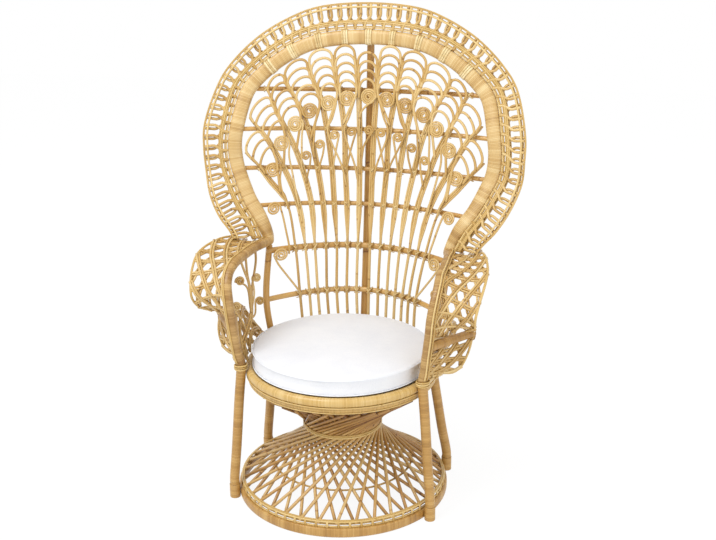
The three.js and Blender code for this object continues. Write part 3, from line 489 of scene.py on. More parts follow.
# A flat strap of peel round the arch band at a place on its line, from behind, over the front.
def archStrap(bm, place, around):
    half = arch["bandWidth"] / 2 + arch["strapThickness"]
    depth = arch["bandThickness"] / 2 + arch["strapThickness"]
    along = around.normalized()
    normal = facingFront(place)
    side = along.cross(normal).normalized()
    points = []
    for step in range(arch["strapSteps"] + 1):
        angle = math.radians(mix(*arch["strapAngles"], step / arch["strapSteps"]))
        a, b = [math.copysign(abs(c) ** arch["strapCorner"], c) for c in (math.cos(angle), -math.sin(angle))]
        points.append(place + side * half * a + normal * depth * b)
    sweep(bm, points, arch["strapWidth"] / 2, arch["strapThickness"], 6, square=0.6,
          facing=lambda p: (p - place) - along * (p - place).dot(along), pitch=arch["strapPitch"])


scallops = {
    "radius": 4.4, "offset": 4.6, "strapped": 5, "stagger": 1.3,
    "branchLength": 105, "branchDrop": 4, "branchShares": (0.2, 0.6, 1), "branchLift": 0.1,
    "branchEndLift": 0.5, "bowSteps": 8, "station": 7,
    # how far down the spoke, how far in from it, and share of the lift, for each point of a leg
    "legs": [(13, 3.4, 0.95), (29, 1.2, 0.62)],
    # crest of the first and last arch of each column, their count and their rise
    "columns": [
        ((0, 0.95), (0, 0.862), 4, 31), ((0.178, 0.971), (0.161, 0.856), 5, 31),
        ((0.373, 0.955), (0.307, 0.843), 5, 31), ((0.543, 0.92), (0.457, 0.806), 5, 30),
        ((0.698, 0.869), (0.589, 0.763), 5, 30), ((0.812, 0.786), (0.696, 0.712), 4, 28),
        ((0.874, 0.67), (0.766, 0.622), 3, 24),
    ],
}
archStraps = newPiece()
for firstShare, *rest in scallops["columns"][: scallops["strapped"]]:
    crest = onFan(firstShare, 0)
    nearest = shareWhere(archLine, lambda p: (p - crest).length)
    for share in ([0.5] if firstShare[0] == 0 else [nearest, 1 - nearest]):
        for step in (-1, 0, 1):
            spot = share + step * arch["strapGap"] / archLine.length
            archStrap(archStraps, archLine.at(spot), archLine.along(spot))
finishPiece("arch_straps", archStraps, tiePeel, "wrapping")

# Border: trims beside the arch, woven rounds, crossing posts with bottle-shaped windows, and the outer hoop
border = {
    "cells": 67, "postRadius": 4.9, "layer": 3.8, "spread": 5.3, "footSpread": 0.42, "samples": 720,
    # distance out from the arch's line, or in from the hoop's where it is less than nothing
    "trims": [27.6, 32.7], "trimRadius": 2.5, "trimForward": 3.0,
    # distance, cane radius and layer of the woven rounds, in front of the posts and behind them
    "rounds": [(41.3, 2.2, 6), (-11.6, 3.3, 6.4), (46.6, 2.9, 5.8), (51.8, 2.9, 5.8)],
    "hoopStrands": [-1.6, 1.3], "hoopRadius": 2.1, "ringSteps": 180,
    # distance out and sideways share of the foot's spread, where the canes of a post draw together
    "feet": [(26, 1.1), (36, 1.0), (45, 0.8), (52, 0.45)], "cross": 59, "parted": 68,
    "hoopRoom": 4, "partedRoom": 9, "hoopLayer": 0.5,
}
borderSamples = border["samples"]
middles = []
for i in range(borderSamples + 1):
    middles.append(archLine.point(i / borderSamples).lerp(rimLine.point(i / borderSamples), 0.5))
borderRuns = [0]
for a, b in zip(middles, middles[1:]):
    borderRuns.append(borderRuns[-1] + (b - a).length)


# The share of both lines' points that lies so far along the middle of the border.
def borderShare(fraction):
    target = fraction * borderRuns[-1]
    i = next((k for k in range(1, borderSamples + 1) if borderRuns[k] >= target), borderSamples)
    return (i - (borderRuns[i] - target) / (borderRuns[i] - borderRuns[i - 1])) / borderSamples


# A place in the border: how far along, how far out from the arch (or in from the hoop, if less than
# nothing), how far to the side along the border, and which layer.
def inBorder(share, out, sideways=0, forward=0):
    inner, outer = archLine.point(share), rimLine.point(share)
    across = (outer - inner).normalized()
    place = inner + across * out if out >= 0 else outer + across * out
    normal = facingFront(place)
    return place + normal.cross(across).normalized() * sideways + normal * forward


def ringAt(bm, line, out, radius, forward=0.0):
    points = []
    for i in range(border["ringSteps"] + 1):
        share = borderShare(i / border["ringSteps"])
        inner, outer = archLine.point(share), rimLine.point(share)
        place = line.point(share) + (outer - inner).normalized() * out
        points.append(place + facingFront(place) * forward)
    sweep(bm, points, radius)


rings = newPiece()
for out in border["trims"]:
    ringAt(rings, archLine, out, border["trimRadius"], border["trimForward"])
for side in (-1, 1):
    for out, radius, layer in border["rounds"]:
        ringAt(rings, archLine if out > 0 else rimLine, out, radius, side * layer)
for out in border["hoopStrands"]:
    ringAt(rings, rimLine, out, border["hoopRadius"])
finishPiece("border_rings", rings, stemCane, "rattan", "outer_hoop")

posts = newPiece()
cellPitch = borderRuns[-1] / border["cells"]
for cell in range(border["cells"]):
    share = borderShare((cell + 0.5) / border["cells"])
    outer = (rimLine.point(share) - archLine.point(share)).length - border["hoopRoom"]
    for side in (1, -1):
        layer = side * border["layer"]
        foot = side * cellPitch * border["footSpread"]
        stops = [(out, foot * spread, layer) for out, spread in border["feet"]]
        stops.append((border["cross"], 0, layer))
        for out in (border["parted"], outer - border["partedRoom"]):
            stops.append((out, -side * border["spread"], layer))
        stops.append((outer, -side * border["spread"], layer * border["hoopLayer"]))
        line = Line([inBorder(share, out, sideways, forward) for out, sideways, forward in stops], 6)
        sweep(posts, line.spaced(13), border["postRadius"])
finishPiece("border_posts", posts, caneSkin, "rattan", "border_front_strand", "border_back_strand")
print("border made")

# Rungs behind the spokes, with ties of pale peel at each crossing
rungs = {
    "heights": [567, 715, 853, 968, 1096, 1222], "tallness": [18, 20, 15, 15, 15, 15], "thickness": 15,
    "postOverlap": 4, "archOverlap": 12, "sagShare": 0.6, "sagAt": 10, "halfSteps": 24,
    "tieWidth": 2.3, "tieThickness": 0.7, "tieReach": 8.5, "topRoom": 20,
    # half of a tie's strip, from behind the rung: to the side, up the spoke, and forward
    "tieHalf": [(0.9, 1.15, -17), (1.05, 1.1, -8), (0.85, 0.85, 0.5)],
    # where it climbs on the spoke, as a share of its reach, and how far over the spoke it lies there
    # and at the crossing, where the two strips lie one over the other
    "tieClimb": 0.42, "tieOver": 1.6, "tieCrossing": 2.2, "tieApart": 0.7, "tieForward": 4.5,
    "tieFacing": 9,
}
rearPost = {
    "radius": 10.7, "rungReach": 282.5, "rungInset": 8, "topReach": 302, "topDepth": 222, "topHeight": 737.5,
    "topAngle": 23.3, "endRoom": 12,
}
seat = {
    "centreDepth": 5, "hoopCentre": 291, "hoopRadius": 14.5, "hoopHeight": 420, "lowerRadius": 9,
    "lowerHeight": 397.3, "hoopPitch": 4.6, "hoopGroove": 0.2, "lowerPitch": 4.4, "lowerGroove": 0.4,
    # distance out from the hoops' middle, height and cane radius
    "trims": [(10.5, 405.2, 2.2), (4.0, 386.8, 2.4)],
}
rearTop = math.radians(rearPost["topAngle"])
postLine = Line([
    (seat["hoopCentre"] * math.cos(rearTop), seat["centreDepth"] + seat["hoopCentre"] * math.sin(rearTop),
     seat["hoopHeight"] + rearPost["endRoom"]),
    onBack(rearPost["rungReach"], rungs["heights"][0], -rearPost["rungInset"]),
    (rearPost["topReach"], rearPost["topDepth"], rearPost["topHeight"] - rearPost["endRoom"]),
])


def reachAt(points, height):
    reach = 0
    for a, b in zip(points, points[1:]):
        if min(a.z, b.z) <= height <= max(a.z, b.z) and abs(b.z - a.z) > 1e-6:
            reach = max(reach, mix(a.x, b.x, (height - a.z) / (b.z - a.z)))
    return reach


backRungs = newPiece()
for index, height in enumerate(rungs["heights"]):
    if height < arch["waistHeight"]:
        reach = reachAt(postLine.dense, height) - rungs["postOverlap"]
    else:
        reach = reachAt(archLine.dense, height) - rungs["archOverlap"]
    sag = (backDepth(0, height) - backDepth(reach / rungs["sagAt"], height)) * rungs["sagShare"]
    points = [onBack(reach * (i / rungs["halfSteps"] - 1), height, -rungs["thickness"] / 2 - sag)
              for i in range(2 * rungs["halfSteps"] + 1)]
    sweep(backRungs, points, rungs["tallness"][index] / 2, rungs["thickness"] / 2, 12, facingFront)
rungNodes = ["back_rung_" + str(i + 1) for i in range(len(rungs["heights"]))]
finishPiece("back_rungs", backRungs, darkCane, "rattan", *rungNodes)


# Two narrow strips of peel that cross over a spoke and pass behind the rung.
def crossTie(bm, place, tallness):
    normal = facingFront(place)
    side = skyward.cross(normal).normalized()
    climb = rungs["tieClimb"]
    half = rungs["tieHalf"] + [(climb, climb, fan["spokeRadius"] + rungs["tieOver"])]
    for lean in (1, -1):
        strip = [(-a, -b, c) for a, b, c in half]
        crossing = fan["spokeRadius"] + rungs["tieCrossing"] + rungs["tieApart"] * lean
        strip += [(0, 0, crossing)] + half[::-1]
        points = [place + side * a * lean * rungs["tieReach"] + skyward * b * (tallness / 2 + 1)
                  + normal * (c - fan["spokeLayer"] + rungs["tieForward"]) for a, b, c in strip]
        sweep(bm, Line(points, 3).spaced(10), rungs["tieWidth"], rungs["tieThickness"], 4,
              facing=lambda p: (p - place) + normal * rungs["tieFacing"], square=0.7)


ties = newPiece()
for spoke in spokeLines:
    for height, tallness in zip(rungs["heights"], rungs["tallness"]):
        if height > spoke.places[-1].z - rungs["topRoom"]:
            continue
        place = spoke.at(shareWhere(spoke, lambda p: abs(p.z - height), 300))
        for spot in [place] + flip([place]):
            crossTie(ties, spot, tallness)
finishPiece("rung_ties", ties, tiePeel, "wrapping")

# The post stands behind the rungs, from the seat up behind the arch.
centrePost = {
    "width": 12, "depth": 10.4, "layer": -27.5, "footRoom": 13, "topRoom": 4, "step": 20, "tone": 0.1,
}
postPiece = newPiece()
postHeights = rungs["heights"] + [arch["topHeight"] - centrePost["topRoom"]]
postFoot = seat["hoopHeight"] + centrePost["footRoom"]
postPlaces = [Vector((0, seat["centreDepth"] + seat["hoopCentre"], postFoot))]
postPlaces += [onBack(0, height, centrePost["layer"]) for height in postHeights]
sweep(postPiece, Line(postPlaces).every(centrePost["step"]), centrePost["width"], centrePost["depth"], 14,
      facingFront, tone=centrePost["tone"])
finishPiece("centre_post", postPiece, darkCane, "pole", "centre_post")
print("rungs made")

# Fan: spokes in bundles, nested scallops and tight curls
bundles = {
    "startHeight": 722, "outermostStart": 853, "steps": 50,
    "sideRadius": 3.3, "sideOffset": 6.6, "sideForward": 1.5, "sideSteps": 19, "growSteps": 4,
}
curls = {
    # radius, turns, and 1 where the stem stands on the inner side or -1 on the outer side
    "kinds": {"large": (29.5, 3.3, 1), "small": (19, 1.9, 1), "low": (24, 2.6, 1), "lowest": (23, 2.5, -1)},
    "stepsPerTurn": 18, "caneRadius": 3.5, "turnGap": 6.8, "stemForward": 2,
    # kind, centre, and the stem's points
    "places": [
        ("large", (-0.012, 0.802), [(0.06, 0.67), (0.055, 0.71), (0.045, 0.75)]),
        ("small", (-0.018, 0.69), [(0.05, 0.54), (0.03, 0.6), (0.015, 0.64)]),
        ("large", (0.155, 0.794), [(0.055, 0.5), (0.085, 0.57), (0.172, 0.69), (0.135, 0.735)]),
        ("small", (0.117, 0.6835), [(0.155, 0.54), (0.14, 0.58), (0.112, 0.635)]),
        ("large", (0.3, 0.776), [(0.15, 0.5), (0.19, 0.57), (0.304, 0.69), (0.27, 0.725)]),
        ("small", (0.25, 0.67), [(0.262, 0.54), (0.25, 0.58), (0.233, 0.625)]),
        ("large", (0.445, 0.749), [(0.385, 0.565), (0.41, 0.61), (0.405, 0.67), (0.397, 0.71)]),
        ("small", (0.363, 0.638), [(0.37, 0.54), (0.355, 0.575), (0.337, 0.605)]),
        ("large", (0.551, 0.705), [(0.48, 0.535), (0.5, 0.56), (0.5, 0.62), (0.5, 0.67)]),
        ("small", (0.467, 0.599), [(0.46, 0.505), (0.452, 0.535), (0.437, 0.565)]),
        ("large", (0.6535, 0.64), [(0.505, 0.42), (0.52, 0.442), (0.57, 0.54), (0.597, 0.6)]),
        ("large", (0.716, 0.548), [(0.59, 0.42), (0.605, 0.444), (0.642, 0.48), (0.66, 0.52)]),
        ("low", (0.69, 0.42), [(0.556, 0.275), (0.562, 0.296), (0.59, 0.345), (0.622, 0.395)]),
        ("lowest", (0.612, 0.273), [(0.455, 0.13), (0.47, 0.145), (0.55, 0.197), (0.628, 0.247)]),
    ],
}


def levelWith(line, place, up):
    return shareWhere(line, lambda p: abs((p - place).dot(up)))


# The crests and feet of a column of scallops, from the top down, and the way up the column.
def columnPlaces(column):
    firstShare, lastShare, count, rise = scallops["columns"][column]
    first, last = onFan(firstShare, fan["frontLayer"]), onFan(lastShare, fan["frontLayer"])
    up = (first - last).normalized()
    crests = [first.lerp(last, i / (count - 1)) for i in range(count)]
    return crests, [crest - up * rise for crest in crests], up


spokes = newPiece()
for index, line in enumerate(spokeLines):
    crests, feet, rising = columnPlaces(index)
    topShare = levelWith(line, feet[0], rising)
    points = [line.at(topShare * i / bundles["steps"]) for i in range(bundles["steps"] + 1)]
    tipShare = fan["spokeTipRadius"] / fan["spokeRadius"]
    swell = [mix(1, tipShare, i / (len(points) - 1)) for i in range(len(points))]
    sweepPair(spokes, points, fan["spokeRadius"], sides=8, swell=swell)
    sideEnd = levelWith(line, feet[-1], rising)
    lowest = bundles["outermostStart"] if index == len(spokeLines) - 1 else bundles["startHeight"]
    sideStart = shareWhere(line, lambda p: abs(p.z - lowest))
    for side in (-1, 1):
        strand = []
        for i in range(bundles["sideSteps"] + 1):
            share = mix(sideStart, sideEnd, i / bundles["sideSteps"])
            place, along = line.at(share), line.along(share)
            across = along.cross(facingFront(place)).normalized()
            grow = min(1, i / bundles["growSteps"])
            strand.append(place + across * side * bundles["sideOffset"] * grow
                          + facingFront(place) * bundles["sideForward"])
        sweepPair(spokes, strand, bundles["sideRadius"])
spokeNodes = [name for i in range(len(spokeLines)) for name in bothSides("spoke_" + str(i + 1))]
finishPiece("fan_spokes", spokes, caneSkin, "rattan", *spokeNodes)

# Each scallop's legs draw in to the middle of its spokes, and the lowest one of a column runs on to the
# foot of the next spoke, so that the curl there stands in a V.
arches = newPiece()
mirroredFirst = Line(flip(spokeLines[0].places))
for column in range(len(scallops["columns"])):
    inner = spokeLines[max(column - 1, 0)]
    outerLine = spokeLines[column] if column else mirroredFirst
    crests, feet, rising = columnPlaces(column)
    forward = scallops["stagger"] * (column % 2)
    for i, (crest, foot) in enumerate(zip(crests, feet)):
        lift = facingFront(foot) * (fan["frontLayer"] - fan["spokeLayer"] + forward)
        shares = [levelWith(line, foot, rising) for line in (inner, outerLine)]
        start, end = inner.at(shares[0]) + lift, outerLine.at(shares[1]) + lift
        inward = (end - start).normalized()
        legs = []
        for line, share, sign in ((inner, shares[0], 1), (outerLine, shares[1], -1)):
            leg = []
            for drop, offset, rise in scallops["legs"]:
                leg.append(line.at(share - drop / line.length) + inward * sign * offset + lift * rise)
            legs.append(leg)
        if column and i == len(crests) - 1:
            target = outerLine.at(shares[1] - scallops["branchLength"] / outerLine.length)
            target = target + lift * scallops["branchEndLift"]
            legs[0] = []
            for share in scallops["branchShares"]:
                spot = start.lerp(target, share) - rising * scallops["branchDrop"]
                legs[0].append(spot + lift * scallops["branchLift"])
        start, end = start + inward * scallops["offset"], end - inward * scallops["offset"]
        middle = start.lerp(end, 0.5)
        half, top = middle - start, crest - middle
        bow = []
        for k in range(scallops["bowSteps"] + 1):
            angle = math.pi * k / scallops["bowSteps"]
            bow.append(middle - half * math.cos(angle) + top * math.sin(angle))
        strand = Line(legs[0][::-1] + bow + legs[1], 6).every(scallops["station"])
        draw = sweepPair if column else sweep
        draw(arches, strand, scallops["radius"], sides=7)
finishPiece("fan_scallops", arches, caneSkin, "rattan")


# A tight curl: the stem rises beside one side, and winds in over the top.
def curlPoints(kind, centre, stem, forward):
    radius, turns, side = curls["kinds"][kind]
    reach = radius - curls["caneRadius"]
    x, z = fan["halfWidth"] * centre[0], mix(fan["seatHeight"], fan["topHeight"], centre[1])
    points = [onFan(stem[0], fan["spokeLayer"] + curls["stemForward"])]
    points += [onFan(share, forward) for share in stem[1:]]
    line = Line(points + [onBack(x - side * reach, z, forward)], 6)
    winding = []
    for step in range(round(turns * curls["stepsPerTurn"]) + 1):
        turn = step / curls["stepsPerTurn"]
        angle = math.pi - turn * 2 * math.pi
        here = reach - turn * curls["turnGap"]
        winding.append(onBack(x + side * here * math.cos(angle), z + here * math.sin(angle), forward))
    return line.every(10)[:-1] + winding


windings = newPiece()
for kind, centre, stem in curls["places"]:
    strand = curlPoints(kind, centre, stem, fan["frontLayer"])
    if centre[0] < 0:  # the two curls beside the middle have no mirror image
        sweep(windings, flip(strand), curls["caneRadius"], facing=facingFront)
    else:
        sweepPair(windings, strand, curls["caneRadius"], facing=facingFront)
finishPiece("fan_curls", windings, caneSkin, "rattan")
print("fan made")

# Arms: the wrapped frame with its trims, the flare, the cross bar and the inner canes
arm = {
    "reach": 320, "radius": 14, "flareOut": 454, "waistHeight": 737.5, "waistDepth": 232, "frontDepth": -154,
    "footHeight": 446.3, "hoopRadius": 3.9, "trimRadius": 2.3,
    # share of the reach, of the way from the front to the waist, and of the height over the leg
    "frame": [
        (0.938, 1, 1), (0.956, 0.891, 1.022), (0.978, 0.658, 1.05), (0.994, 0.399, 1.057), (1, 0.218, 1.05),
        (1.006, 0.114, 0.998), (0.997, 0.041, 0.906), (0.981, 0.01, 0.803), (0.966, 0, 0.683),
        (0.953, 0.005, 0.529), (0.938, 0.008, 0.391), (0.922, 0.013, 0.254), (0.906, 0.027, 0.117),
        (0.8925, 0.0365, 0.05), (0.8925, 0.0365, 0),
    ],
    "flare": [
        (0.885, 0.891, 1.084), (0.947, 0.66, 1.129), (1, 0.347, 1.094), (0.996, 0.192, 0.991),
        (0.978, 0.083, 0.861), (0.963, 0.044, 0.734), (0.954, 0.101, 0.624), (0.941, 0.205, 0.528),
        (0.919, 0.347, 0.442), (0.905, 0.477, 0.381), (0.899, 0.438, 0.322), (0.892, 0.38, 0.24),
        (0.87, 0.334, 0.134), (0.837, 0.313, 0.04), (0.793, 0.295, -0.01), (0.738, 0.254, -0.003),
        (0.69, 0.15, 0.05),
    ],
}


def onArm(share, reach=None):
    return Vector(((reach or arm["reach"]) * share[0], mix(arm["frontDepth"], arm["waistDepth"], share[1]),
                   mix(arm["footHeight"], arm["waistHeight"], share[2])))


frameLine = Line([onArm(share) for share in arm["frame"]])
flareLine = Line([onArm(share, arm["flareOut"]) for share in arm["flare"]])

# One wrapped band runs up the right arm, round the arch and down the left arm. It is broad and flat on the
# arch, and rounder on the arms, and two thin canes lie side by side along its outer edge all the way.
wrap = {
    "cornerReach": 130, "armTone": -0.15, "archTone": 0.5, "dent": 0.975, "square": 0.76, "feeler": 0.002,
    "trimSteps": 80, "trimStart": 0.004, "trimPast": 0.03,
    # out from the band's line and up from it, for each of the two canes along the edge
    "trimSpots": {"arch": [(26, 3), (30.7, 3)], "arm": [(7.4, 14.6), (14.2, 8)]},
}
cornerTop = onArm(arm["frame"][0]).lerp(archLine.places[-1], 0.5)
halfPlaces = [onArm(share) for share in arm["frame"][:0:-1]] + [cornerTop]
halfPlaces += archLine.places[-2 : len(arch["shares"]) - 2 : -1]
wrapLine = Line(halfPlaces + flip(halfPlaces[-2::-1]))
cornerRun = shareWhere(wrapLine, lambda p: (p - cornerTop).length) * wrapLine.length


# How much a place so far along the band belongs to the arch: 0 on the arms and 1 on the arch.
def archness(share):
    run = min(share, 1 - share) * wrapLine.length
    t = min(max((run - cornerRun) / wrap["cornerReach"] * 0.5 + 0.5, 0), 1)
    return t * t * (3 - 2 * t)


# The way that the section's thickness points: to the front on the arch, and away from the opening on
# the arms.
def wrapFacing(share):
    along = wrapLine.along(share, wrap["feeler"])
    side = Vector((1 if share < 0.5 else -1, 0, 0))
    away = (side.cross(along) if share < 0.5 else along.cross(side)).normalized()
    return away.lerp(facingFront(wrapLine.at(share)), archness(share)).normalized()


bandTurns = round(wrapLine.length / arch["peelPitch"])
stations = [i / (2 * bandTurns) for i in range(2 * bandTurns + 1)]
sections = []
for i, share in enumerate(stations):
    dent = wrap["dent"] if i % 2 == 0 else 1.0
    sections.append((mix(arm["radius"], arch["bandWidth"] / 2, archness(share)) * dent,
                     mix(arm["radius"], arch["bandThickness"] / 2, archness(share)) * dent))
bandTones = [mix(wrap["armTone"], wrap["archTone"], archness(share)) for share in stations]
band = newPiece()
sweep(band, [wrapLine.at(share) for share in stations], 1, 1, 18, [wrapFacing(share) for share in stations],
      sections, wrapLine.length / bandTurns, bandTones, wrap["square"], blunt=True)
finishPiece("wrapped_band", band, archPeel, "wrapping", "back_arch", *bothSides("arm_frame"))

armTrims = newPiece()
for (archOut, archUp), (armOut, armUp) in zip(wrap["trimSpots"]["arch"], wrap["trimSpots"]["arm"]):
    strand = []
    for i in range(wrap["trimSteps"] + 1):
        share = mix(wrap["trimStart"], cornerRun / wrapLine.length + wrap["trimPast"], i / wrap["trimSteps"])
        rise = wrapFacing(share)
        along = wrapLine.along(share, wrap["feeler"])
        rise = (rise - along * rise.dot(along)).normalized()
        outerSide = along.cross(rise) if rise.cross(along).x < 0 else rise.cross(along)
        part = archness(share)
        spot = wrapLine.at(share) + outerSide * mix(armOut, archOut, part)
        strand.append(spot + rise * mix(armUp, archUp, part))
    sweepPair(armTrims, strand, arm["trimRadius"], sides=8)
finishPiece("arm_trims", armTrims, stemCane, "rattan")

# Flare: an open hexagonal weave of paired canes between the frame and the hoop. Cross rows pass
# between the rows of holes, and two slanting families shift half a hole for each row.
flare = {
    "caneRadius": 3.9, "pairGap": 8.0, "layer": 3.5, "holesAcross": 3, "shortest": 0.03, "steps": 14,
    "overrun": 0.02, "feeler": 0.01, "normalStep": 5, "frameShare": 0.9,
    "hoopShare": 0.985,  # the canes stop a little inside the hoop
    # a hoop inside the pocket, from the frame back and down to the seat
    "pocketHoop": [
        (306, -136, 582), (328, -70, 592), (343, 10, 588), (348, 66, 562), (338, 104, 515), (320, 124, 468),
        (300, 130, 438),
    ],
    "seatEdge": {"radius": 296, "height": 438, "from": -23, "to": 23, "step": 2},
}


# A place in a panel: how far along its two lines, how far across from one to the other, and which layer.
def inPanel(panel, along, across, layer=0.0):
    along = min(max(along, -flare["overrun"]), 1 + flare["overrun"])
    inner = panel["innerLine"].at(mix(*panel["innerSpan"], along))
    spot = mix(*panel["outerSpan"], along)
    outer = panel["outerLine"].at(spot)
    across *= flare["hoopShare"]
    ahead = panel["outerLine"].at(spot + flare["feeler"]) - panel["outerLine"].at(spot - flare["feeler"])
    reach = outer - inner
    normal = reach.cross(ahead).normalized()
    inner = inner + reach.normalized() * arm["radius"] * flare["frameShare"]
    place = inner.lerp(outer, across)
    return place + normal * (panel["bulge"] * across * (1 - across) + layer)


def panelStrand(bm, panel, starts, ends, layer):
    steps = max(4, round(flare["steps"] * max(abs(ends[1] - starts[1]), abs(ends[0] - starts[0]))))
    spots = [tuple(mix(a, b, i / steps) for a, b in zip(starts, ends)) for i in range(steps + 1)]
    points = [inPanel(panel, *spot, layer) for spot in spots]
    for shift in (-flare["pairGap"] / 2, flare["pairGap"] / 2):
        moved = []
        for i, point in enumerate(points):
            ahead = points[min(i + 1, steps)] - points[max(i - 1, 0)]
            normal = inPanel(panel, *spots[i], layer + flare["normalStep"]) - point
            moved.append(point + ahead.cross(normal).normalized() * shift)
        for strand in (moved, flip(moved)):
            sweep(bm, strand, flare["caneRadius"])


seatEdge = flare["seatEdge"]
edgePlaces = []
for degrees in range(seatEdge["from"], seatEdge["to"] + 1, seatEdge["step"]):
    reach, depth = [seatEdge["radius"] * f(math.radians(degrees)) for f in (math.cos, math.sin)]
    edgePlaces.append(Vector((reach, seat["centreDepth"] + depth, seatEdge["height"])))
pocketHoop = Line(flare["pocketHoop"])
panels = [
    # above the cross bar, below it, and the pocket's inner wall from the seat up to its own hoop
    {"innerLine": frameLine, "innerSpan": (0.0, 0.77), "outerLine": flareLine, "outerSpan": (0.015, 0.61),
     "rows": 9, "bulge": 40},
    {"innerLine": frameLine, "innerSpan": (0.86, 0.985), "outerLine": flareLine, "outerSpan": (0.74, 0.985),
     "rows": 4, "bulge": 40},
    {"innerLine": Line(edgePlaces), "innerSpan": (0, 1), "outerLine": pocketHoop, "outerSpan": (0, 0.93),
     "rows": 6, "bulge": -14},
]
lattice = newPiece()
for panel in panels:
    rows, holes = panel["rows"], flare["holesAcross"]
    lean = rows / (2 * holes)  # how far across a slanting cane shifts over the whole length
    for row in range(rows):
        panelStrand(lattice, panel, ((row + 0.5) / rows, 0), ((row + 0.5) / rows, 1), 0)
    for direction in (1, -1):
        for i in range(-rows, holes + rows):
            starting = i / holes
            low, high = sorted(((0 - starting) / (direction * lean), (1 - starting) / (direction * lean)))
            low, high = max(low, 0), min(high, 1)
            if high - low > flare["shortest"]:
                ends = [(share, starting + direction * lean * share) for share in (low, high)]
                panelStrand(lattice, panel, *ends, direction * flare["layer"])
finishPiece("flare_weave", lattice, caneSkin, "rattan")

for name, line, material, nodes in (("flare_hoops", flareLine, stemCane, bothSides("arm_flare")),
                                    ("pocket_hoops", pocketHoop, caneSkin, ())):
    hoops = newPiece()
    sweepPair(hoops, line.every(11), arm["hoopRadius"], sides=8)
    finishPiece(name, hoops, material, "rattan", *nodes)

crossBar = {
    "radius": 13.5, "frame": (0.94, 0.005, 0.4), "hoop": (0.905, 0.477, 0.36), "span": (0.045, 0.98),
    "peelPitch": 4.4, "groove": 0.4, "strapWidth": 15, "strapRise": 8, "strapReach": 9, "strapAt": 0.965,
    "strapThickness": 1.1, "strapSteps": 24,
}
crossBars = newPiece()
barStraps = newPiece()
for mirror in (list, flip):
    start, end = mirror([onArm(crossBar["frame"]), onArm(crossBar["hoop"], arm["flareOut"])])
    line = Line([start.lerp(end, share) for share in crossBar["span"]])
    wound(crossBars, line, crossBar["radius"], crossBar["radius"], crossBar["peelPitch"],
          crossBar["groove"], 12, upward, tone=0.2)
    along = (end - start).normalized()
    centre = start.lerp(end, crossBar["strapAt"])
    loop = []
    for i in range(crossBar["strapSteps"] + 1):
        angle = 2 * math.pi * i / crossBar["strapSteps"]
        rise = skyward * (crossBar["radius"] + crossBar["strapRise"]) * math.sin(angle)
        loop.append(centre + rise + along * crossBar["strapReach"] * math.cos(angle))
    sweep(barStraps, loop, crossBar["strapWidth"] / 2, crossBar["strapThickness"], 6,
          lambda p: p - centre, closed=True, square=0.6, tone=0.1)
finishPiece("cross_bars", crossBars, polePeel, "wrapping", *bothSides("cross_bar"))
finishPiece("bar_straps", barStraps, darkCane, "rattan")

plume = {
    "radius": 4, "curlRadius": 18, "curlCane": 3.2, "curlTurns": 2.2, "curlSteps": 16, "tightness": 0.98,
    "inset": 0.947, "turned": 55,
    # share of the way back and of the height, and for some points a reach of their own
    "canes": [
        [(0.1, 0.16, 0.935), (0.33, 0.27), (0.44, 0.38), (0.43, 0.72), (0.33, 0.93), (0.31, 1.03, 0.965)],
        [(0.33, 0.27), (0.46, 0.38), (0.5, 0.66), (0.62, 0.92), (0.66, 1.02, 0.965)],
        [(0.08, 0.1, 0.93), (0.36, 0.22), (0.47, 0.34), (0.47, 0.62), (0.4, 0.86), (0.42, 1.03, 0.965)],
    ],
    # centre, and the stem's points
    "curls": [
        ((0.62, 0.72), [(0.46, 0.4), (0.55, 0.58)]), ((0.22, 0.86), [(0.44, 0.45), (0.38, 0.72)]),
        ((0.68, 0.42), [(0.4, 0.33), (0.55, 0.33)]), ((0.12, 0.62), [(0.3, 0.28), (0.22, 0.42)]),
    ],
}


def inOpening(share):
    return onArm((share[2] if len(share) > 2 else plume["inset"], share[0], share[1]))


plumes = newPiece()
for shares in plume["canes"]:
    sweepPair(plumes, Line([inOpening(share) for share in shares]).every(10), plume["radius"], sides=8)
turnedFront = Matrix.Rotation(math.radians(plume["turned"]), 3, "Z")  # the curls look towards the front
cane = plume["curlCane"]
for centreShare, stem in plume["curls"]:
    centre = inOpening(centreShare)
    joint = centre + turnedFront @ Vector((0, cane - plume["curlRadius"], 0))
    winding = []
    for step in range(round(plume["curlTurns"] * plume["curlSteps"]) + 1):
        turn = step / plume["curlSteps"]
        angle = math.pi - turn * 2 * math.pi
        reach = plume["curlRadius"] - cane - turn * 2 * cane * plume["tightness"]
        winding.append(centre + turnedFront @ Vector((0, reach * math.cos(angle), reach * math.sin(angle))))
    stemLine = Line([inOpening(share) for share in stem] + [joint], 6)
    sweepPair(plumes, stemLine.every(8)[:-1] + winding, cane, sides=8)
finishPiece("arm_plumes", plumes, caneSkin, "rattan", *bothSides("arm_plume"))
print("arms made")

# Poles: legs on thicker feet, rear posts, and the binding over each front joint
leg = {
    "radius": 15.3, "footRadius": 17, "footHeight": 45, "frontTop": 446, "peelPitch": 5.2, "footPitch": 5.6,
    "footDistance": 354.3, "topDistance": 320.3, "ankleLength": 15, "topLength": 14, "rearTopDrop": 9,
    "footAngles": (-27, 28.4), "topAngles": (-26.9, 23.3), "kneeShares": (0.35, 0.7), "groove": 0.2,
    "footGroove": 0.3,
}


def polar(distance, degrees, height, centreDepth=0):
    angle = math.radians(degrees)
    return Vector((distance * math.cos(angle), centreDepth + distance * math.sin(angle), height))


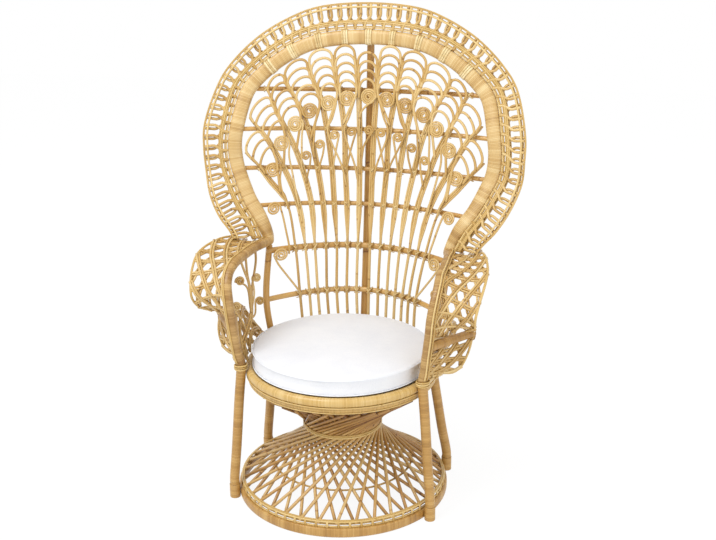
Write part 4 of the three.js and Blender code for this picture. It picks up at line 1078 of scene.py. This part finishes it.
frontFoot, rearFoot = [polar(leg["footDistance"], angle, 0) for angle in leg["footAngles"]]
frontTop = polar(leg["topDistance"], leg["topAngles"][0], leg["frontTop"], seat["centreDepth"])
rearLegTop = polar(seat["hoopCentre"], leg["topAngles"][1], seat["lowerHeight"] - leg["rearTopDrop"],
                   seat["centreDepth"])
legs = newPiece()
feet = newPiece()
for foot, top in ((frontFoot, frontTop), (rearFoot, rearLegTop)):
    ankle = Vector((foot.x, foot.y, leg["footHeight"]))
    places = [ankle, ankle + skyward * leg["ankleLength"]]
    places += [ankle.lerp(top, share) for share in leg["kneeShares"]]
    if top is frontTop:  # the front legs end upright under the arms
        places.append(Vector((top.x, top.y, top.z - leg["topLength"])))
    places.append(top)
    for mirror in (list, flip):
        wound(legs, Line(mirror(places)), leg["radius"], leg["radius"], leg["peelPitch"], leg["groove"], 14)
        wound(feet, Line(mirror([foot, ankle])), leg["footRadius"], leg["footRadius"], leg["footPitch"],
              leg["footGroove"], 14)
finishPiece("legs", legs, polePeel, "pole", *bothSides("front_leg"), *bothSides("rear_leg"))
finishPiece("feet", feet, polePeel, "wrapping", *bothSides("front_foot"), *bothSides("rear_foot"))

rearPosts = newPiece()
sweepPair(rearPosts, postLine.every(14), rearPost["radius"], sides=14, tone=0.35)
finishPiece("rear_posts", rearPosts, darkCane, "pole", *bothSides("rear_post"))

binding = {"caneRadius": 2.6, "turns": 3, "clearance": 1.2, "height": 436, "slant": 1.5, "steps": 28}
bindings = newPiece()
for side in (1, -1):
    centre = Vector((frontTop.x * side, frontTop.y, 0))
    for turn in range(binding["turns"]):
        height = binding["height"] + binding["caneRadius"] * (1 + 2 * turn)
        reach = leg["radius"] + binding["caneRadius"] + binding["clearance"]
        ring = []
        for i in range(binding["steps"] + 1):
            angle = 2 * math.pi * i / binding["steps"]
            lift = height + binding["slant"] * math.sin(angle + turn)
            ring.append(centre + Vector((reach * math.cos(angle), reach * math.sin(angle), lift)))
        sweep(bindings, ring, binding["caneRadius"], sides=8, closed=True)
finishPiece("joint_bindings", bindings, stemCane, "rattan", *bothSides("front_joint_binding"))
print("poles made")


# Seat: two wrapped hoops with thin canes between and below them, and the woven deck
def circleLine(radius, height, centreDepth=0.0, count=72):
    return Line([Vector((radius * math.cos(a), centreDepth + radius * math.sin(a), height))
                 for a in [2 * math.pi * i / count for i in range(count + 1)]], 4)


# A thin cane bent into a level hoop.
def roundCane(bm, radius, height, cane, centreDepth=0.0, stations=120, sides=8, tone=None):
    sweep(bm, circleLine(radius, height, centreDepth).spaced(stations), cane, sides=sides, closed=True,
          facing=upward, tone=tone)


seatHoops = newPiece()
upperHoop = circleLine(seat["hoopCentre"], seat["hoopHeight"], seat["centreDepth"])
lowerHoop = circleLine(seat["hoopCentre"], seat["lowerHeight"], seat["centreDepth"])
wound(seatHoops, upperHoop, seat["hoopRadius"], None, seat["hoopPitch"], seat["hoopGroove"], 14, upward,
      square=0.9, closed=True)
wound(seatHoops, lowerHoop, seat["lowerRadius"], None, seat["lowerPitch"], seat["lowerGroove"], 12, upward,
      closed=True, tone=0.2)
finishPiece("seat_hoops", seatHoops, hoopPeel, "wrapping", "seat_hoop_upper", "seat_hoop_lower")

seatTrims = newPiece()
for out, height, cane in seat["trims"]:
    roundCane(seatTrims, seat["hoopCentre"] + out, height, cane, seat["centreDepth"])
finishPiece("seat_trims", seatTrims, stemCane, "rattan")

deck = {
    "radius": 276, "height": 420, "gap": 13, "stripWidth": 12.6, "thickness": 1.1, "rise": 0.4,
    "shortest": 20,
}
deckWeave = newPiece()
stripsEachWay = int(deck["radius"] // deck["gap"])
for direction in (0, 1):
    for i in range(-stripsEachWay, stripsEachWay + 1):
        across = i * deck["gap"]
        half = math.sqrt(max(deck["radius"] ** 2 - across**2, 0))
        if half < deck["shortest"]:
            continue
        points = []
        steps = max(4, round(2 * half / deck["gap"]))
        for k in range(steps + 1):
            along = mix(-half, half, k / steps)
            height = deck["height"] + deck["rise"] * (1 if (i + k + direction) % 2 else -1)
            x, y = (along, across) if direction == 0 else (across, along)
            points.append(Vector((x, y + seat["centreDepth"], height)))
        sweep(deckWeave, points, deck["stripWidth"] / 2, deck["thickness"], 4, upward, square=0.7)
finishPiece("seat_deck", deckWeave, spindleCane, "rattan", "seat_deck")
print("seat made")

# Pedestal: two families of straight spindles that cross and draw in to a waist
base = {
    "outerRadius": 337, "wall": 18, "height": 30, "peelPitch": 5, "groove": 0.25, "square": 0.45, "ties": 60,
    "tieWidth": 4.2, "tieThickness": 2.6, "tieHeight": 18, "caneRadius": 2.9,
    "canes": [2.6, 8.2],  # how far up and in from the band's top each thin cane lies
}
spindles = {
    "perFamily": 36, "caneRadius": 5.2, "footRadius": 325, "waistRadius": 117, "waistHeight": 224.6,
    "layerStep": 10.6, "footHeight": 43.8, "innerFootDrop": 3, "topHeight": 373, "legRoom": 22,
    "footSink": 1, "steps": 12, "coneTone": -0.75, "coneFade": 40,
}
rounds = {
    "waistCane": 3.2, "waistClearance": 0.3, "waistDrop": 3.3,
    # radius, height and cane radius of the hoop tied inside, and of the rings at the spindles' feet
    "hoop": (222.5, 97, 3.3), "feet": [(326.5, 48.2, 2.9), (321.5, 50.2, 2.9)],
}


def legDistance(point):
    place = Vector((abs(point.x), point.y, point.z))
    axis = rearLegTop - rearFoot
    share = min(max((place - rearFoot).dot(axis) / axis.length_squared, 0), 1)
    return (place - rearFoot - axis * share).length


# A place on a spindle: it touches the waist circle, and leans to the side that `lean` says.
def onSpindle(spin, waist, lean, height):
    return spin @ Vector((waist, lean * (height - spindles["waistHeight"]), height))


stakes = newPiece()
for inward, drop, turn in ((0, 0, 1), (spindles["layerStep"], spindles["innerFootDrop"], -1)):
    waist, footRadius = spindles["waistRadius"] - inward, spindles["footRadius"] - inward
    footHeight = spindles["footHeight"] - drop
    lean = turn * (math.sqrt(footRadius**2 - waist**2) / (spindles["waistHeight"] - footHeight))
    for i in range(spindles["perFamily"]):
        spin = Matrix.Rotation(2 * math.pi * i / spindles["perFamily"], 3, "Z")
        top = spindles["topHeight"]
        while legDistance(onSpindle(spin, waist, lean, top)) < spindles["legRoom"]:
            top -= 1
        own = random.random()
        bottom = footHeight - spindles["footSink"]
        heights = [mix(bottom, top, k / spindles["steps"]) for k in range(spindles["steps"] + 1)]
        shades = []
        for height in heights:  # the cone over the waist is in the seat's shade and darker
            risen = min(max((height - spindles["waistHeight"]) / spindles["coneFade"], 0), 1)
            shades.append(own + spindles["coneTone"] * risen)
        sweep(stakes, [onSpindle(spin, waist, lean, height) for height in heights], spindles["caneRadius"],
              sides=8, tone=[own] + shades + shades[-1:])
finishPiece("pedestal_spindles", stakes, spindleCane, "rattan", "outer_spindles", "inner_spindles")

roundPiece = newPiece()
waistRound = spindles["waistRadius"] + 2 * rounds["waistCane"] + rounds["waistClearance"]
for side in (-1, 1):
    height = spindles["waistHeight"] + side * rounds["waistDrop"]
    roundCane(roundPiece, waistRound, height, rounds["waistCane"], stations=64)
roundCane(roundPiece, *rounds["hoop"], stations=72, sides=6, tone=0.0)
for radius, height, cane in rounds["feet"]:
    roundCane(roundPiece, radius, height, cane)
finishPiece("pedestal_rounds", roundPiece, stemCane, "rattan", "waist_ring", "stiffening_hoop")

# The wrapped band of the base, thin canes over it, and short ties up to the rim that leave a row of slits.
baseBand = newPiece()
bandMiddle = base["outerRadius"] - base["wall"] / 2
wound(baseBand, circleLine(bandMiddle, base["height"] / 2), base["wall"] / 2, base["height"] / 2,
      base["peelPitch"], base["groove"], 16, upward, base["square"], closed=True)
finishPiece("base_band", baseBand, polePeel, "wrapping", "base_band")
baseTies = newPiece()
for lift in base["canes"]:
    roundCane(baseTies, bandMiddle - lift, base["height"] + lift, base["caneRadius"])
for i in range(base["ties"]):
    foot = polar(bandMiddle, 360 * i / base["ties"], base["height"])
    tie = [foot + skyward * base["tieHeight"] * share for share in (0, 0.5, 1)]
    sweep(baseTies, tie, base["tieWidth"], base["tieThickness"], facing=lambda p: Vector((p.x, p.y, 0)))
finishPiece("base_ties", baseTies, stemCane, "rattan")
print("pedestal made")

# Cushion: a round boxed pad, puffed by a cloth simulation, with a sewn welt round its upper and lower edge
pad = {
    "radius": 277, "bottom": 433.9, "thickness": 56, "centreDepth": -3, "corner": 5, "waisting": 3,
    "segments": 96, "weltRadius": 2.1, "weltOut": 0.8,
    # share of the radius, and rise over the top edge
    "crown": [(0.8, 0.8), (0.4, 2), (0, 2.3)],
    # for the simulation, in metres where it is a length, but heldWidth is in millimetres
    "voxel": 0.006, "frames": 20, "cap": 0.008, "heldWidth": 6,
    "cloth": {
        "quality": 5, "mass": 0.25, "tension_stiffness": 18, "compression_stiffness": 18,
        "bending_stiffness": 0.8, "use_pressure": True, "uniform_pressure_force": 4,
    },
}


def cushionShell():
    bm = newPiece()
    low, top = pad["bottom"], pad["bottom"] + pad["thickness"]
    reach, corner = pad["radius"], pad["corner"]
    profile = [
        (0, low), (reach * 0.6, low), (reach - corner, low), (reach, low + corner),
        (reach - pad["waisting"], (low + top) / 2), (reach, top - corner), (reach - corner, top),
    ]
    profile += [(reach * share, top + rise) for share, rise in pad["crown"]]
    verts = [bm.verts.new((r, pad["centreDepth"], z)) for r, z in profile]
    edges = [bm.edges.new(pair) for pair in zip(verts, verts[1:])]
    bmesh.ops.spin(bm, geom=verts + edges, cent=(0, pad["centreDepth"], 0), axis=(0, 0, 1),
                   angle=2 * math.pi, steps=pad["segments"], use_merge=True)
    bmesh.ops.remove_doubles(bm, verts=bm.verts[:], dist=0.01)
    return bm


weltHeights = [pad["bottom"] + pad["corner"], pad["bottom"] + pad["thickness"] - pad["corner"]]


# The mesh as its modifiers leave it.
def shaped(obj):
    bpy.context.view_layer.update()
    return bpy.data.meshes.new_from_object(obj.evaluated_get(bpy.context.evaluated_depsgraph_get()))


# Air pressure in the cloth swells the pad, and no point goes further than the cap. The underside stays flat.
def puff(obj):
    remesh = obj.modifiers.new("even mesh", "REMESH")
    remesh.mode = "VOXEL"
    remesh.voxel_size = pad["voxel"]
    even = shaped(obj)
    obj.modifiers.clear()
    obj.data = even
    start = [v.co.copy() for v in even.vertices]
    welt = obj.vertex_groups.new(name="welt")  # the sewn edges hold still
    held = []
    for vertex in even.vertices:
        place = vertex.co / millimetre - Vector((0, pad["centreDepth"] + frameShift, 0))
        out = place.xy.length - pad["radius"]
        for height in weltHeights:
            if math.hypot(out, place.z - height) < pad["heldWidth"]:
                held.append(vertex.index)
    welt.add(held, 1, "REPLACE")
    cloth = obj.modifiers.new("cotton", "CLOTH")
    for name, value in pad["cloth"].items():
        setattr(cloth.settings, name, value)
    cloth.settings.vertex_group_mass = welt.name
    cloth.settings.effector_weights.gravity = 0
    cloth.point_cache.frame_start = 1
    cloth.point_cache.frame_end = pad["frames"]
    for number in range(1, pad["frames"] + 1):
        bpy.context.scene.frame_set(number)
    swollen = shaped(obj)
    obj.modifiers.clear()
    bpy.context.scene.frame_set(1)
    obj.data = swollen
    underside = pad["bottom"] * millimetre
    for vertex, place in zip(swollen.vertices, start):
        move = vertex.co - place
        if move.length > pad["cap"]:
            vertex.co = place + move * (pad["cap"] / move.length)
        vertex.co.z = max(vertex.co.z, underside)
    for face in swollen.polygons:
        face.use_smooth = True


cushion = finishPiece("seat_cushion", cushionShell(), canvas, "cotton", "cushion", body="cushion")
puff(cushion)
smooth = cushion.modifiers.new("smooth", "SUBSURF")
smooth.levels = smooth.render_levels = 1

welts = newPiece()
for height in weltHeights:
    roundCane(welts, pad["radius"] + pad["weltOut"], height, pad["weltRadius"], pad["centreDepth"], 140)
finishPiece("cushion_welts", welts, canvas, "cotton", body="cushion")
print("cushion made")

# Stage: a pale floor that keeps the chair's shadow, soft lamps and the camera
stage = {
    "floorHalf": 8, "floorShade": 0.88, "paper": "#FAFAFA", "glow": 1.03, "skyOnChair": 0.77,
    # place, what it looks at, size and power
    "lamps": {
        "key": ((-1.5, -1.9, 4.3), (0, 0, 0.7), 2.2, 112),
        "fill": ((2.8, -2.4, 1.6), (0, 0, 0.7), 2.6, 28),
    },
}


# 1 where the camera sees a surface straight, in a reflection or through glass, and otherwise 0.
def seenByCamera(tree):
    path = addNode(tree, "ShaderNodeLightPath").outputs
    seen = path["Is Camera Ray"]
    for other in ("Is Glossy Ray", "Is Transmission Ray"):
        seen = addNode(tree, "ShaderNodeMath", [seen, path[other]], operation="MAXIMUM")
    return seen


bm = bmesh.new()
bmesh.ops.create_grid(bm, x_segments=2, y_segments=2, size=stage["floorHalf"])
mesh = bpy.data.meshes.new("floor")
bm.to_mesh(mesh)
bm.free()
floor = bpy.data.objects.new("floor", mesh)
bpy.context.scene.collection.objects.link(floor)
material, tree = newMaterial("pale studio floor")
paper = addNode(tree, "ShaderNodeBsdfDiffuse", {"Color": linear(stage["paper"])})
glow = addNode(tree, "ShaderNodeEmission", {"Color": (1, 1, 1, 1), "Strength": stage["glow"]})
share = addNode(tree, "ShaderNodeMath", [seenByCamera(tree), stage["floorShade"]], operation="MULTIPLY")
blend = addNode(tree, "ShaderNodeMixShader", [share, paper, glow])
addNode(tree, "ShaderNodeOutputMaterial", [blend])
floor.data.materials.append(material)

world = bpy.data.worlds.new("studio")
bpy.context.scene.world = world
world.use_nodes = True
tree = world.node_tree
tree.nodes.clear()
strength = addNode(tree, "ShaderNodeMath", [seenByCamera(tree), 1 - stage["skyOnChair"], stage["skyOnChair"]],
                   operation="MULTIPLY_ADD")
sky = addNode(tree, "ShaderNodeBackground", {"Color": (1, 1, 1, 1), "Strength": strength})
addNode(tree, "ShaderNodeOutputWorld", [sky])


def addLamp(name, place, aim, size, power):
    lamp = bpy.data.lights.new(name, "AREA")
    lamp.size = size
    lamp.energy = power
    holder = bpy.data.objects.new(name, lamp)
    holder.location = place
    holder.rotation_mode = "QUATERNION"
    holder.rotation_quaternion = (Vector(aim) - Vector(place)).to_track_quat("-Z", "Y")
    bpy.context.scene.collection.objects.link(holder)


for name, settings in stage["lamps"].items():
    addLamp(name, *settings)

camera = {
    "place": (0.8327, -3.1812, 1.8132), "yaw": 0.2433, "pitch": 0.322, "roll": -0.0087,
    "focalPixels": 1114.5, "imageWidth": 716, "sensor": 36,
}
lens = bpy.data.cameras.new("camera")
lens.sensor_width = camera["sensor"]
lens.lens = camera["focalPixels"] * camera["sensor"] / camera["imageWidth"]
view = bpy.data.objects.new("camera", lens)
yaw, pitch, roll = camera["yaw"], camera["pitch"], camera["roll"]
forward = Vector((-math.sin(yaw) * math.cos(pitch), math.cos(yaw) * math.cos(pitch), -math.sin(pitch)))
right = Vector((math.cos(yaw), math.sin(yaw), 0))
up = right.cross(forward)
level, tilt = math.cos(roll), math.sin(roll)
turned = Matrix((right * level + up * tilt, up * level - right * tilt, -forward)).transposed().to_4x4()
turned.translation = camera["place"]
view.matrix_world = turned
bpy.context.scene.collection.objects.link(view)
bpy.context.scene.camera = view
bpy.context.scene.view_settings.view_transform = "Standard"
print("stage made")
